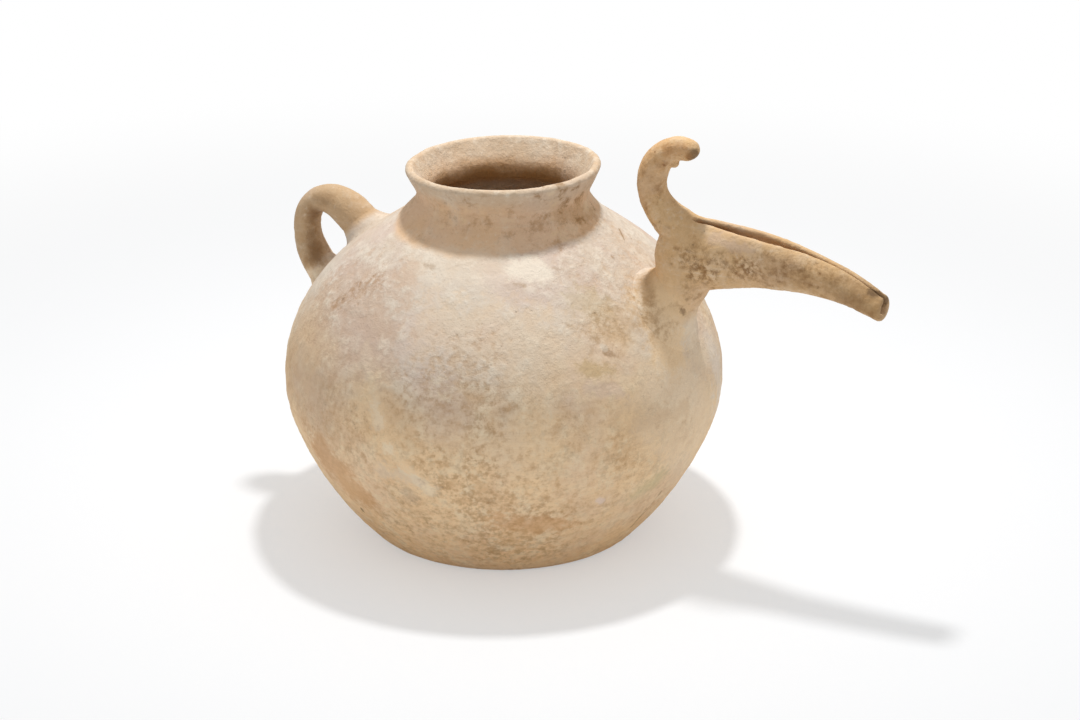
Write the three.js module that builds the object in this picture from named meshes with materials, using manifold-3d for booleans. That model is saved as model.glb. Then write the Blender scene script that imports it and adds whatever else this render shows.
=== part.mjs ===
// A beak-spouted jar of unglazed buff earthenware, as the separately formed pieces of clay that a
// potter lutes together: a base slab, two thrown wall halves, a neck, a lip, a spout in three pieces,
// a loop handle, and the coils of soft clay that are smoothed round the spout's and handle's roots.
// Millimetres and degrees, +Z up. The origin is the centre of the base; +X runs out along the spout.
import * as THREE from "three";
import { mergeVertices } from "three/addons/utils/BufferGeometryUtils.js";
import Module from "manifold-3d";

const wasm = await Module();
wasm.setup();

// The film of slip that is left between two luted pieces
const SLIP = 0.3;

// The thrown wall: its outline from the base to the lip
const BASE_RADIUS = 64;
const BASE_THICKNESS = 9;
const BASE_EDGE_WEAR = 3;
const BELLY_RADIUS = 104;
const BELLY_HEIGHT = 75;
const NECK_ROOT_RADIUS = 49.5;
const NECK_ROOT_HEIGHT = 152;
const LIP_RADIUS = 45;
const NECK_HEIGHT = 23.8;
const WALL = 6;
const LIP_THICKNESS = 4;
const MOUTH_TILT = 1.6;

// How the wall leaves and reaches those points: a heading, and the distance for which it is held
const FOOT_ANGLE = 42.5;
const FOOT_PULL = 23;
const BELLY_PULL_DOWN = 24;
const BELLY_PULL_UP = 48;
const SHOULDER_ANGLE = 135;
const SHOULDER_PULL = 7;
const NECK_PULL = 19;
const LIP_ANGLE = 63;
const LIP_PULL = 12.5;

// The bevelled seams between the wall's pieces, on the outside: one stands above the base, one runs
// round the belly, and the others lie below the neck's root and the lip
const BASE_SEAM_HEIGHT = 8;
const NECK_SEAM_DROP = 1;
const LIP_SEAM_DROP = 8.8;
const SEAM_BEVEL = 5;

// The spout's socket: a short elbow that stands on the shoulder over the pour hole
const SOCKET_SEAT_HEIGHT = 124;
const SOCKET_ANGLE = 54;
const SOCKET_STEM = 11;
const SOCKET_DEPTH = 25;
const SOCKET_WIDTH = 26;
const SOCKET_WALL = 5;
const POUR_HOLE_RADIUS = 8;

// The beak: a slab rolled into an open trough between two smooth lines, its keel and its lips.
// Its middle, and where its lips have closed, are shares of its length; a waist is where in its height
// the slab is widest.
const BEAK_SEAM_OUT = 20.7;
const BEAK_SEAM_UP = 9.5;
const BEAK_SEAM_TILT = 18;
const BEAK_LENGTH = 82.2;
const BEAK_TIP_DROP = 0.3;
const BEAK_ROOT_HEIGHT = 36;
const BEAK_TIP_HEIGHT = 12;
const BEAK_ROOT_WIDTH = 25;
const BEAK_WIDTH = 18;
const BEAK_TIP_WIDTH = 15;
const BEAK_WALL = 3.2;
const BEAK_ROOT_GAP = 3.5;
const BEAK_GAP = 8.5;
const BEAK_TIP_GAP = 0.8;
const BEAK_TIP_ROUND = 2.5;
const BEAK_TIP_WALL = 1.6;
const BEAK_MIDDLE = 0.35;
const BEAK_CLOSED_FROM = 0.75;
const BEAK_ROOT_WAIST = 0.5;
const BEAK_WAIST = 0.7;
const BEAK_TIP_WAIST = 0.5;
const KEEL_START_ANGLE = 18;
const KEEL_END_ANGLE = -25;
const KEEL_PULL = 24;
const LIPS_START_ANGLE = -9;
const LIPS_END_ANGLE = -35;
const LIPS_PULL = 31;

// The crest: a tapered roll of clay that stands on the elbow and curls forward over the trough.
// Its swell, taper and bead are placed by shares of its length.
const CREST_FOOT_BACK = 5;
const CREST_FOOT_DROP = 5.5;
const CREST_HEIGHT = 28.1;
const CREST_OVERHANG = 4.6;
const CREST_START_ANGLE = 150;
const CREST_START_PULL = 31;
const CREST_TIP_ANGLE = -36;
const CREST_TIP_PULL = 18.5;
const CREST_FOOT_THICKNESS = 18;
const CREST_THICKNESS = 13.5;
const CREST_TIP_THICKNESS = 10;
const CREST_SWELL_TO = 0.4;
const CREST_TAPER_FROM = 0.5;
const CREST_BEAD_RADIUS = 2.3;
const CREST_BEAD_PLACE = 0.74;
const CREST_BEAD_SINK = 1;

// The loop handle on the shoulder, opposite the spout
const HANDLE_UPPER_SEAT_HEIGHT = 134.3;
const HANDLE_LOWER_SEAT_HEIGHT = 105.5;
const HANDLE_UPPER_ANGLE = 141.5;
const HANDLE_LOWER_ANGLE = -57;
const HANDLE_UPPER_PULL = 27;
const HANDLE_LOWER_PULL = 25.5;
const HANDLE_STEM = 10;
const HANDLE_UPPER_THICKNESS = 18.5;
const HANDLE_LOWER_THICKNESS = 15;
const HANDLE_ROOT_WIDTH = 17;
const HANDLE_THICKNESS = 12;
const HANDLE_WIDTH = 15;
const HANDLE_UPPER_SHARE = 0.42;
const HANDLE_LOWER_SHARE = 0.3;

// The luting coils: how far each spreads over the wall and climbs its stem. The spout's keeps a thick
// edge, its pad, and spreads further uphill by a share.
const SPOUT_LUTING_REACH = 9;
const SPOUT_LUTING_RISE = 8;
const SPOUT_LUTING_PAD = 2.6;
const SPOUT_LUTING_UPHILL = 0.35;
const HANDLE_LUTING_REACH = 5;
const HANDLE_LUTING_RISE = 6;
const LUTING_FEATHER = 0.8;

// Facets
const WHEEL_STEPS = 48;
const WALL_STEP = 10;
const NECK_STEP = 4.5;
const SECTION_STEPS = 24;
const HANDLE_RINGS = 16;
const CREST_RINGS = 12;
const BEAK_RINGS = 14;
const ELBOW_RINGS = 6;
const LIP_ARC_STEPS = 4;
const FILLET_SHARES = [0, 0.2, 0.45, 0.7, 0.9, 1];
const CREST_TIP_TURNS = [30, 55, 75];
const OUTLINE_SAMPLES = 160;
const WALL_HALVINGS = 40;

const { clamp, degToRad, inverseLerp, lerp, radToDeg, smoothstep } = THREE.MathUtils;

function evenly(count) {
  return Array.from({ length: count + 1 }, (_, i) => i / count);
}

// Lines in the X-Z plane

function heading(angle) {
  return new THREE.Vector2(Math.cos(degToRad(angle)), Math.sin(degToRad(angle)));
}

function ahead(point, angle, distance) {
  return point.clone().addScaledVector(heading(angle), distance);
}

// A smooth line that leaves one point and reaches another at given headings, each held for its pull
function bend(start, startAngle, startPull, end, endAngle, endPull) {
  const leaving = ahead(start, startAngle, startPull);
  const reaching = ahead(end, endAngle, -endPull);
  return new THREE.CubicBezierCurve(start, leaving, reaching, end);
}

function joined(...curves) {
  const path = new THREE.CurvePath();
  curves.forEach((curve) => path.add(curve));
  return path;
}

// The wall's outline, as (radius, height)

const LIP_HEIGHT = NECK_ROOT_HEIGHT + NECK_HEIGHT;
const baseEdge = new THREE.Vector2(BASE_RADIUS, 0);
const belly = new THREE.Vector2(BELLY_RADIUS, BELLY_HEIGHT);
const neckRoot = new THREE.Vector2(NECK_ROOT_RADIUS, NECK_ROOT_HEIGHT);
const lip = new THREE.Vector2(LIP_RADIUS, LIP_HEIGHT);
const outline = joined(
  bend(baseEdge, FOOT_ANGLE, FOOT_PULL, belly, 90, BELLY_PULL_DOWN),
  bend(belly, 90, BELLY_PULL_UP, neckRoot, SHOULDER_ANGLE, SHOULDER_PULL),
  bend(neckRoot, SHOULDER_ANGLE, NECK_PULL, lip, LIP_ANGLE, LIP_PULL),
);
const outlineLength = outline.getLength();
const outlinePoints = outline.getSpacedPoints(OUTLINE_SAMPLES);

// The share of the outline, from the base, at which it reaches a height
function shareAt(height) {
  const reached = outlinePoints.findIndex((p) => p.y >= height);
  const next = reached < 0 ? OUTLINE_SAMPLES : Math.max(reached, 1);
  const within = inverseLerp(outlinePoints[next - 1].y, outlinePoints[next].y, height);
  return (next - 1 + within) / OUTLINE_SAMPLES;
}

function alongAt(height) {
  return shareAt(height) * outlineLength;
}

function radiusAt(height) {
  const place = shareAt(height) * OUTLINE_SAMPLES;
  const from = clamp(Math.floor(place), 0, OUTLINE_SAMPLES - 1);
  return lerp(outlinePoints[from].x, outlinePoints[from + 1].x, place - from);
}

function outsideAt(along) {
  return outline.getPointAt(along / outlineLength);
}

// The wall thins evenly from the neck's root to the lip
const neckAlong = alongAt(NECK_ROOT_HEIGHT);

function thicknessAt(along) {
  const share = clamp((along - neckAlong) / (outlineLength - neckAlong), 0, 1);
  return lerp(WALL, LIP_THICKNESS, share);
}

function insideAt(along) {
  const tangent = outline.getTangentAt(along / outlineLength);
  const inward = new THREE.Vector2(-tangent.y, tangent.x);
  return outsideAt(along).addScaledVector(inward, thicknessAt(along));
}

// Points of one face of the wall between two distances along it; the tight curve of the neck has more
function face(pointAt, from, to) {
  const step = Math.max(from, to) > neckAlong ? NECK_STEP : WALL_STEP;
  const steps = Math.max(2, Math.round(Math.abs(to - from) / step));
  return evenly(steps).map((share) => pointAt(lerp(from, to, share)));
}

// A bevelled seam: the inner edge lies lower than the outer one, and slip parts the two pieces
function seam(height) {
  const outer = alongAt(height);
  const inner = outer - SEAM_BEVEL;
  const half = (SLIP * Math.hypot(WALL, SEAM_BEVEL)) / WALL / 2;
  return {
    below: { outer: outer - half, inner: inner - half },
    above: { outer: outer + half, inner: inner + half },
  };
}

const baseSeam = seam(BASE_SEAM_HEIGHT);
const bellySeam = seam(BELLY_HEIGHT);
const neckSeam = seam(NECK_ROOT_HEIGHT - NECK_SEAM_DROP);
const lipSeam = seam(LIP_HEIGHT - LIP_SEAM_DROP);

// Turning clay on the wheel

// The mouth dried a little lower on the handle's side, so the neck leans by a growing shear
function leanMouth(geometry) {
  const position = geometry.getAttribute("position");
  for (let i = 0; i < position.count; i++) {
    const share = smoothstep(position.getZ(i), NECK_ROOT_HEIGHT, LIP_HEIGHT);
    const rise = position.getX(i) * Math.tan(degToRad(MOUTH_TILT)) * share;
    position.setZ(i, position.getZ(i) + rise);
  }
  return geometry;
}

function thrown(profile) {
  return leanMouth(new THREE.LatheGeometry(profile, WHEEL_STEPS).rotateX(Math.PI / 2));
}

// A ring of the wall between two seams
function wallRing(start, end) {
  const outer = face(outsideAt, start.outer, end.outer);
  const inner = face(insideAt, end.inner, start.inner);
  return thrown([...outer, ...inner, outer[0]]);
}

// Solids through rings of points

function toManifold(geometry) {
  const bare = geometry.clone();
  bare.deleteAttribute("normal");
  bare.deleteAttribute("uv");
  const merged = mergeVertices(bare);
  const vertProperties = merged.getAttribute("position").array;
  const triVerts = new Uint32Array(merged.index.array);
  return new wasm.Manifold(new wasm.Mesh({ numProp: 3, vertProperties, triVerts }));
}

function toGeometry(manifold) {
  const mesh = manifold.getMesh();
  const geometry = new THREE.BufferGeometry();
  geometry.setAttribute("position", new THREE.BufferAttribute(mesh.vertProperties, 3));
  geometry.setIndex(new THREE.BufferAttribute(mesh.triVerts, 1));
  return geometry;
}

// A contour set in a plane that holds the Y axis: its x runs along Y, its y along the given heading
function placed(contour, centre, upAngle) {
  return contour.map((p) => {
    const inPlane = ahead(centre, upAngle, p.y);
    return new THREE.Vector3(inPlane.x, p.x, inPlane.y);
  });
}

function ellipse(width, depth) {
  return evenly(SECTION_STEPS).slice(1).map((share) => {
    const turn = 2 * Math.PI * share;
    return new THREE.Vector2((width / 2) * Math.cos(turn), (depth / 2) * Math.sin(turn));
  });
}

// The faces between neighbouring rings of equal count; a closed skin joins the last ring to the first
function skin(rings, closed) {
  const count = rings[0].length;
  const index = [];
  for (let i = 0; i < rings.length - (closed ? 0 : 1); i++) {
    const here = i * count;
    const next = ((i + 1) % rings.length) * count;
    for (let j = 0; j < count; j++) {
      const k = (j + 1) % count;
      index.push(here + j, here + k, next + k, here + j, next + k, next + j);
    }
  }
  return index;
}

function meshed(rings, index) {
  return new THREE.BufferGeometry().setFromPoints(rings.flat()).setIndex(index);
}

// A solid through contours, with flat ends
function loft(contours, centres, upAngles) {
  const rings = contours.map((contour, i) => placed(contour, centres[i], upAngles[i]));
  const index = skin(rings, false);
  const end = (rings.length - 1) * rings[0].length;
  for (const [a, b, c] of THREE.ShapeUtils.triangulateShape(contours[0], [])) {
    index.push(c, b, a);
  }
  for (const [a, b, c] of THREE.ShapeUtils.triangulateShape(contours.at(-1), [])) {
    index.push(end + a, end + b, end + c);
  }
  return meshed(rings, index);
}

// A rolled coil along a path: its sections are ellipses square to the path
function coil(path, stations, sectionAt) {
  const contours = stations.map((share) => ellipse(...sectionAt(share)));
  const centres = stations.map((share) => path.getPointAt(share));
  const upAngles = stations.map((share) => {
    const tangent = path.getTangentAt(share);
    return radToDeg(Math.atan2(tangent.y, tangent.x)) + 90;
  });
  return loft(contours, centres, upAngles);
}

// Seats on the wall

// Where the outside of the wall has a height, on the spout's side (1) or the handle's side (-1)
function seatAt(height, side) {
  return new THREE.Vector2(side * radiusAt(height), height);
}

// How far along an axis from a point the outside of the wall lies
function depthToWall(point, axis) {
  let inside = -BELLY_RADIUS / 2;
  let outside = BELLY_RADIUS / 2;
  for (let i = 0; i < WALL_HALVINGS; i++) {
    const middle = (inside + outside) / 2;
    const probe = point.clone().addScaledVector(axis, middle);
    if (Math.hypot(probe.x, probe.y) < radiusAt(probe.z)) inside = middle;
    else outside = middle;
  }
  return inside;
}

// Everything inside the outer face, grown by the slip: it cuts the seats of what stands on the wall
function wallEnvelope() {
  const body = face(outsideAt, 0, neckAlong);
  const neck = face(outsideAt, neckAlong, outlineLength).slice(1);
  const side = [...body, ...neck].map((p) => new THREE.Vector2(p.x + SLIP, p.y));
  const bottom = new THREE.Vector2(0, 0);
  const top = new THREE.Vector2(0, LIP_HEIGHT);
  return toManifold(thrown([bottom, ...side, top]));
}

// A coil of soft clay smoothed into the corner between the wall and an elliptical stem
function lutingCoil(seat, angle, width, depth, reach, rise, pad, uphill) {
  const axis = new THREE.Vector3(heading(angle).x, 0, heading(angle).y);
  const fillet = FILLET_SHARES.map((share) => {
    const spread = LUTING_FEATHER + (reach - LUTING_FEATHER) * share;
    const edge = pad * Math.sqrt(1 - share ** 4);
    const hollow = (rise - LUTING_FEATHER - pad) * (1 - share) ** 2;
    return [SLIP + spread, SLIP + LUTING_FEATHER + edge + hollow];
  });
  const corner = [[SLIP, SLIP], [SLIP, SLIP + rise], ...fillet, [SLIP + reach, SLIP]];
  const rings = ellipse(width, depth).map((edge) => {
    const away = new THREE.Vector2(edge.x / width ** 2, edge.y / depth ** 2).normalize();
    const wider = 1 + uphill * (edge.y / (depth / 2));
    return corner.map(([spread, climb]) => {
      const out = SLIP + (spread - SLIP) * wider;
      const [point] = placed([edge.clone().addScaledVector(away, out)], seat, angle + 90);
      return point.addScaledVector(axis, depthToWall(point, axis) + climb);
    });
  });
  return meshed(rings, skin(rings, true));
}

// Base and lip

function baseDisc() {
  const bottom = [new THREE.Vector2(0, 0), new THREE.Vector2(BASE_RADIUS - BASE_EDGE_WEAR, 0)];
  const side = face(outsideAt, BASE_EDGE_WEAR, baseSeam.below.outer);
  const bevelEnd = insideAt(baseSeam.below.inner);
  return thrown([...bottom, ...side, bevelEnd, new THREE.Vector2(0, BASE_THICKNESS)]);
}

function rimLip() {
  const outer = face(outsideAt, lipSeam.above.outer, outlineLength);
  const inner = face(insideAt, outlineLength, lipSeam.above.inner);
  const middle = outer.at(-1).clone().lerp(inner[0], 0.5);
  const edge = evenly(LIP_ARC_STEPS).slice(1, -1);
  const rounding = edge.map((share) => outer.at(-1).clone().rotateAround(middle, Math.PI * share));
  return thrown([...outer, ...rounding, ...inner, outer[0]]);
}

// The spout

const socketSeat = seatAt(SOCKET_SEAT_HEIGHT, 1);
const keelStart = socketSeat.clone().add(new THREE.Vector2(BEAK_SEAM_OUT, BEAK_SEAM_UP));
const lipsStart = ahead(keelStart, 90 + BEAK_SEAM_TILT, BEAK_ROOT_HEIGHT);
const keelEnd = keelStart.clone().add(new THREE.Vector2(BEAK_LENGTH, -BEAK_TIP_DROP));
const lipsEnd = keelEnd.clone().add(new THREE.Vector2(0, BEAK_TIP_HEIGHT));
const keel = bend(keelStart, KEEL_START_ANGLE, KEEL_PULL, keelEnd, KEEL_END_ANGLE, KEEL_PULL);
const lips = bend(lipsStart, LIPS_START_ANGLE, LIPS_PULL, lipsEnd, LIPS_END_ANGLE, LIPS_PULL);

// The elbow: a straight stem on the wall, then a turn to the beak's tilted seam.
// A growth widens every section; the runs lengthen it into the wall and past the seam.
function elbow(growth, runIn, runOut) {
  const stemStart = ahead(socketSeat, SOCKET_ANGLE, -runIn);
  const stemEnd = ahead(socketSeat, SOCKET_ANGLE, SOCKET_STEM);
  const seamCentre = keelStart.clone().lerp(lipsStart, 0.5);
  const mouth = ahead(seamCentre, BEAK_SEAM_TILT, -2 * SLIP);
  const pull = stemEnd.distanceTo(mouth) / 3;
  const turn = bend(stemEnd, SOCKET_ANGLE, pull, mouth, BEAK_SEAM_TILT, pull);
  const past = new THREE.LineCurve(mouth, ahead(mouth, BEAK_SEAM_TILT, runOut));
  const path = joined(new THREE.LineCurve(stemStart, stemEnd), turn, past);
  const lengths = path.getCurveLengths();
  const stemShare = lengths[0] / lengths[2];
  const mouthShare = lengths[1] / lengths[2];
  const turning = evenly(ELBOW_RINGS).map((share) => lerp(stemShare, mouthShare, share));
  return coil(path, [0, ...turning, 1], (share) => {
    const turned = smoothstep(share, stemShare, mouthShare);
    const width = lerp(SOCKET_WIDTH, BEAK_ROOT_WIDTH, turned);
    const depth = lerp(SOCKET_DEPTH, BEAK_ROOT_HEIGHT, turned);
    return [width + 2 * growth, depth + 2 * growth];
  });
}

function spoutSocket(wall) {
  const outer = toManifold(elbow(0, SOCKET_DEPTH, SLIP));
  const bore = toManifold(elbow(-SOCKET_WALL, 2 * SOCKET_DEPTH, SOCKET_WALL));
  return toGeometry(outer.subtract(bore).subtract(wall));
}

function pourHole() {
  const length = 4 * WALL;
  const drill = new THREE.CylinderGeometry(POUR_HOLE_RADIUS, POUR_HOLE_RADIUS, length, SECTION_STEPS);
  drill.rotateX(Math.PI / 2).rotateY(degToRad(90 - SOCKET_ANGLE));
  drill.translate(socketSeat.x, 0, socketSeat.y);
  return toManifold(drill);
}

// The middle line of the slab: a round bottom up to the widest level, then sides that lean in
function slabLine(width, height, gap, waist) {
  const half = width / 2 - BEAK_WALL / 2;
  const lean = half - (gap + BEAK_WALL) / 2;
  const rise = height - BEAK_WALL / 2 - waist;
  const quarter = SECTION_STEPS / 4;
  const bottom = evenly(2 * quarter).map((share) => {
    const turn = Math.PI * (1 + share);
    return new THREE.Vector2(half * Math.cos(turn), waist + (waist - BEAK_WALL / 2) * Math.sin(turn));
  });
  const side = evenly(quarter).slice(1);
  const right = side.map((share) => new THREE.Vector2(half - lean * share ** 2, waist + rise * share));
  const left = right.map((p) => new THREE.Vector2(-p.x, p.y)).reverse();
  return [...left, ...bottom, ...right];
}

// The slab's section: its middle line thickened to both sides, with rounded edges
function slabSection(line, thickness) {
  const across = line.map((_, i) => {
    const along = line[Math.min(i + 1, line.length - 1)].clone().sub(line[Math.max(i - 1, 0)]);
    return new THREE.Vector2(along.y, -along.x).setLength(thickness / 2);
  });
  const outer = line.map((p, i) => p.clone().add(across[i]));
  const inner = line.map((p, i) => p.clone().sub(across[i])).reverse();
  const edge = evenly(LIP_ARC_STEPS).slice(1, -1);
  const round = (from, middle) => edge.map((share) => from.clone().rotateAround(middle, Math.PI * share));
  return [...outer, ...round(outer.at(-1), line.at(-1)), ...inner, ...round(inner.at(-1), line[0])];
}

// A value that runs from the root through the middle of the beak to its tip
function beakSize(share, root, middle, tip) {
  if (share < BEAK_MIDDLE) return lerp(root, middle, smoothstep(share, 0, BEAK_MIDDLE));
  return lerp(middle, tip, inverseLerp(BEAK_MIDDLE, 1, share));
}

function beakLine(share) {
  const height = keel.getPoint(share).distanceTo(lips.getPoint(share));
  const width = beakSize(share, BEAK_ROOT_WIDTH, BEAK_WIDTH, BEAK_TIP_WIDTH);
  const opening = lerp(BEAK_ROOT_GAP, BEAK_GAP, smoothstep(share, 0, BEAK_MIDDLE));
  const gap = lerp(opening, BEAK_TIP_GAP, smoothstep(share, BEAK_MIDDLE, BEAK_CLOSED_FROM));
  const waist = beakSize(share, BEAK_ROOT_WAIST, BEAK_WAIST, BEAK_TIP_WAIST);
  return slabLine(width, height, gap, height * waist);
}

function beakTrough() {
  const shares = evenly(BEAK_RINGS);
  const contours = shares.map((share) => slabSection(beakLine(share), BEAK_WALL));
  const centres = shares.map((share) => keel.getPoint(share));
  const upAngles = shares.map((share, i) => radToDeg(lips.getPoint(share).sub(centres[i]).angle()));
  contours.push(slabSection(beakLine(1), BEAK_TIP_WALL));
  centres.push(ahead(keelEnd, 0, BEAK_TIP_ROUND));
  upAngles.push(upAngles.at(-1));
  return loft(contours, centres, upAngles);
}

// The space past the seam that belongs to the beak: the crest's foot stops short of it
function beakRootSpace() {
  const half = BEAK_ROOT_WIDTH;
  const top = CREST_FOOT_THICKNESS / 4;
  const corners = [[-half, -BEAK_ROOT_HEIGHT], [half, -BEAK_ROOT_HEIGHT], [half, top], [-half, top]];
  const contour = corners.map(([x, y]) => new THREE.Vector2(x, y));
  const start = ahead(lipsStart, BEAK_SEAM_TILT, -SLIP);
  const end = ahead(start, BEAK_SEAM_TILT, CREST_FOOT_THICKNESS);
  const up = 90 + BEAK_SEAM_TILT;
  return toManifold(loft([contour, contour], [start, end], [up, up]));
}

// The roll, with a bead of clay squeezed into the hollow of its curl, cut to sit on the spout's root.
// The elbow runs on into the beak's space, so that no film of clay is left between the two.
function crestHook() {
  const root = toManifold(elbow(SLIP, SOCKET_DEPTH, 2 * SLIP)).add(beakRootSpace());
  const foot = lipsStart.clone().sub(new THREE.Vector2(CREST_FOOT_BACK, CREST_FOOT_DROP));
  const tip = lipsStart.clone().add(new THREE.Vector2(CREST_OVERHANG, CREST_HEIGHT));
  const start = ahead(foot, CREST_START_ANGLE, -CREST_FOOT_THICKNESS / 4);
  const curl = bend(foot, CREST_START_ANGLE, CREST_START_PULL, tip, CREST_TIP_ANGLE, CREST_TIP_PULL);
  const path = joined(new THREE.LineCurve(start, foot), curl);
  const roundFrom = 1 - CREST_TIP_THICKNESS / 2 / path.getLength();
  const body = evenly(CREST_RINGS).map((share) => share * roundFrom);
  const rounding = CREST_TIP_TURNS.map((turn) => lerp(roundFrom, 1, Math.sin(degToRad(turn))));
  const roll = coil(path, [...body, ...rounding], (share) => {
    const upper = lerp(CREST_FOOT_THICKNESS, CREST_THICKNESS, smoothstep(share, 0, CREST_SWELL_TO));
    const thickness = lerp(upper, CREST_TIP_THICKNESS, smoothstep(share, CREST_TAPER_FROM, 1));
    const past = Math.max(0, (share - roundFrom) / (1 - roundFrom));
    const round = Math.sqrt(1 - past ** 2);
    return [thickness * round, thickness * round];
  });
  const under = radToDeg(path.getTangentAt(CREST_BEAD_PLACE).angle()) - 90;
  const depth = CREST_THICKNESS / 2 - CREST_BEAD_SINK;
  const hollow = ahead(path.getPointAt(CREST_BEAD_PLACE), under, depth);
  const bead = new THREE.SphereGeometry(CREST_BEAD_RADIUS, SECTION_STEPS / 2, SECTION_STEPS / 4);
  bead.translate(hollow.x, 0, hollow.y);
  return toGeometry(toManifold(roll).add(toManifold(bead)).subtract(root));
}

// The handle

const upperSeat = seatAt(HANDLE_UPPER_SEAT_HEIGHT, -1);
const lowerSeat = seatAt(HANDLE_LOWER_SEAT_HEIGHT, -1);
const lowerAxis = HANDLE_LOWER_ANGLE + 180;

function loopHandle(wall) {
  const start = ahead(upperSeat, HANDLE_UPPER_ANGLE, -HANDLE_UPPER_THICKNESS);
  const upper = ahead(upperSeat, HANDLE_UPPER_ANGLE, HANDLE_STEM);
  const lower = ahead(lowerSeat, lowerAxis, HANDLE_STEM);
  const end = ahead(lowerSeat, lowerAxis, -HANDLE_LOWER_THICKNESS);
  const loop = bend(
    upper, HANDLE_UPPER_ANGLE, HANDLE_UPPER_PULL,
    lower, HANDLE_LOWER_ANGLE, HANDLE_LOWER_PULL,
  );
  const path = joined(new THREE.LineCurve(start, upper), loop, new THREE.LineCurve(lower, end));
  const lengths = path.getCurveLengths();
  const from = lengths[0] / lengths[2];
  const to = lengths[1] / lengths[2];
  const stations = [0, ...evenly(HANDLE_RINGS).map((share) => lerp(from, to, share)), 1];
  const solid = coil(path, stations, (share) => {
    const loopShare = clamp(inverseLerp(from, to, share), 0, 1);
    const upperSlim = smoothstep(loopShare, 0, HANDLE_UPPER_SHARE);
    const lowerSlim = smoothstep(1 - loopShare, 0, HANDLE_LOWER_SHARE);
    const width = lerp(HANDLE_ROOT_WIDTH, HANDLE_WIDTH, Math.min(upperSlim, lowerSlim));
    const upperThickness = lerp(HANDLE_UPPER_THICKNESS, HANDLE_THICKNESS, upperSlim);
    return [width, lerp(HANDLE_LOWER_THICKNESS, upperThickness, lowerSlim)];
  });
  return toGeometry(toManifold(solid).subtract(wall));
}

// The coil round the lower root: where the roots are close, it gives way to the upper coil
function handleLowerLuting() {
  const coil = lutingCoil(
    lowerSeat, lowerAxis, HANDLE_ROOT_WIDTH, HANDLE_LOWER_THICKNESS,
    HANDLE_LUTING_REACH, HANDLE_LUTING_RISE, 0, 0,
  );
  const upperCoil = lutingCoil(
    upperSeat, HANDLE_UPPER_ANGLE, HANDLE_ROOT_WIDTH, HANDLE_UPPER_THICKNESS,
    HANDLE_LUTING_REACH + SLIP, HANDLE_LUTING_RISE + SLIP, SLIP, 0,
  );
  return toGeometry(toManifold(coil).subtract(toManifold(upperCoil)));
}

// The assembled jar

const part = new THREE.Group();

function addPiece(name, geometry, color, roughness) {
  geometry.computeVertexNormals();
  const material = new THREE.MeshStandardMaterial({ color, roughness, metalness: 0 });
  const piece = new THREE.Mesh(geometry, material);
  piece.name = name;
  part.add(piece);
}

const wall = wallEnvelope();
const shoulder = toManifold(wallRing(bellySeam.above, neckSeam.below)).subtract(pourHole());

addPiece("base_disc", baseDisc(), "#b08a66", 0.9);
addPiece("lower_bowl", wallRing(baseSeam.above, bellySeam.below), "#b99670", 0.88);
addPiece("shoulder", toGeometry(shoulder), "#c9b193", 0.88);
addPiece("neck_collar", wallRing(neckSeam.above, lipSeam.below), "#b4946f", 0.88);
addPiece("rim_lip", rimLip(), "#c3a684", 0.86);
addPiece("spout_socket", spoutSocket(wall), "#bfa17e", 0.88);
addPiece("beak_trough", beakTrough(), "#bd9d78", 0.88);
addPiece("crest_hook", crestHook(), "#c6aa88", 0.88);
addPiece("loop_handle", loopHandle(wall), "#c2a582", 0.88);
addPiece(
  "spout_luting",
  lutingCoil(
    socketSeat, SOCKET_ANGLE, SOCKET_WIDTH, SOCKET_DEPTH,
    SPOUT_LUTING_REACH, SPOUT_LUTING_RISE, SPOUT_LUTING_PAD, SPOUT_LUTING_UPHILL,
  ),
  "#c4a888",
  0.9,
);
addPiece(
  "handle_upper_luting",
  lutingCoil(
    upperSeat, HANDLE_UPPER_ANGLE, HANDLE_ROOT_WIDTH, HANDLE_UPPER_THICKNESS,
    HANDLE_LUTING_REACH, HANDLE_LUTING_RISE, 0, 0,
  ),
  "#c4a888",
  0.9,
);
addPiece("handle_lower_luting", handleLowerLuting(), "#c4a888", 0.9);

export default part;
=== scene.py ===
import math

import bmesh
import bpy
import numpy as np
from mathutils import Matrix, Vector
from mathutils.bvhtree import BVHTree


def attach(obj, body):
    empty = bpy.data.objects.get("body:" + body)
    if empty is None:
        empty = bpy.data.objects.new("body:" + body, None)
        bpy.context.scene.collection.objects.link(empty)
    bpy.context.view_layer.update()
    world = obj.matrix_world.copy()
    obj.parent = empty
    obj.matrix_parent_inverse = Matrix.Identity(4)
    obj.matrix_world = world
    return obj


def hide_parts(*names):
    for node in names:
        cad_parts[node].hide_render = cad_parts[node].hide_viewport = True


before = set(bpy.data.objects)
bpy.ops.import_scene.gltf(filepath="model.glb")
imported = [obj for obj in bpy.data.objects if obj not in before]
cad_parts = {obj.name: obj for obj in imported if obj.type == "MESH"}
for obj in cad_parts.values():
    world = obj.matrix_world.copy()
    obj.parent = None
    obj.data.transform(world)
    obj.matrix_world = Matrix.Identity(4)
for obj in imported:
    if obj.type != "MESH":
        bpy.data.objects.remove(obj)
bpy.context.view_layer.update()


# The camera looks down on the jar from its spout's side, through a long lens, so that the mouth shows
# as a narrow oval and the beak as its open side. It comes first because marks on the clay are placed
# by the pixels of the photograph in which they were found.
IMAGE_WIDTH = 1080
IMAGE_HEIGHT = 720
SENSOR_WIDTH = 36.0
LENS = 91.3
CAMERA_ROUND = math.radians(28.0)
CAMERA_RISE = math.radians(21.53)
CAMERA_DISTANCE = 1.3
JAR_MIDDLE = Vector((0, 0, 0.09))
JAR_MIDDLE_PIXEL = (504.1, 340.2)

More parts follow.
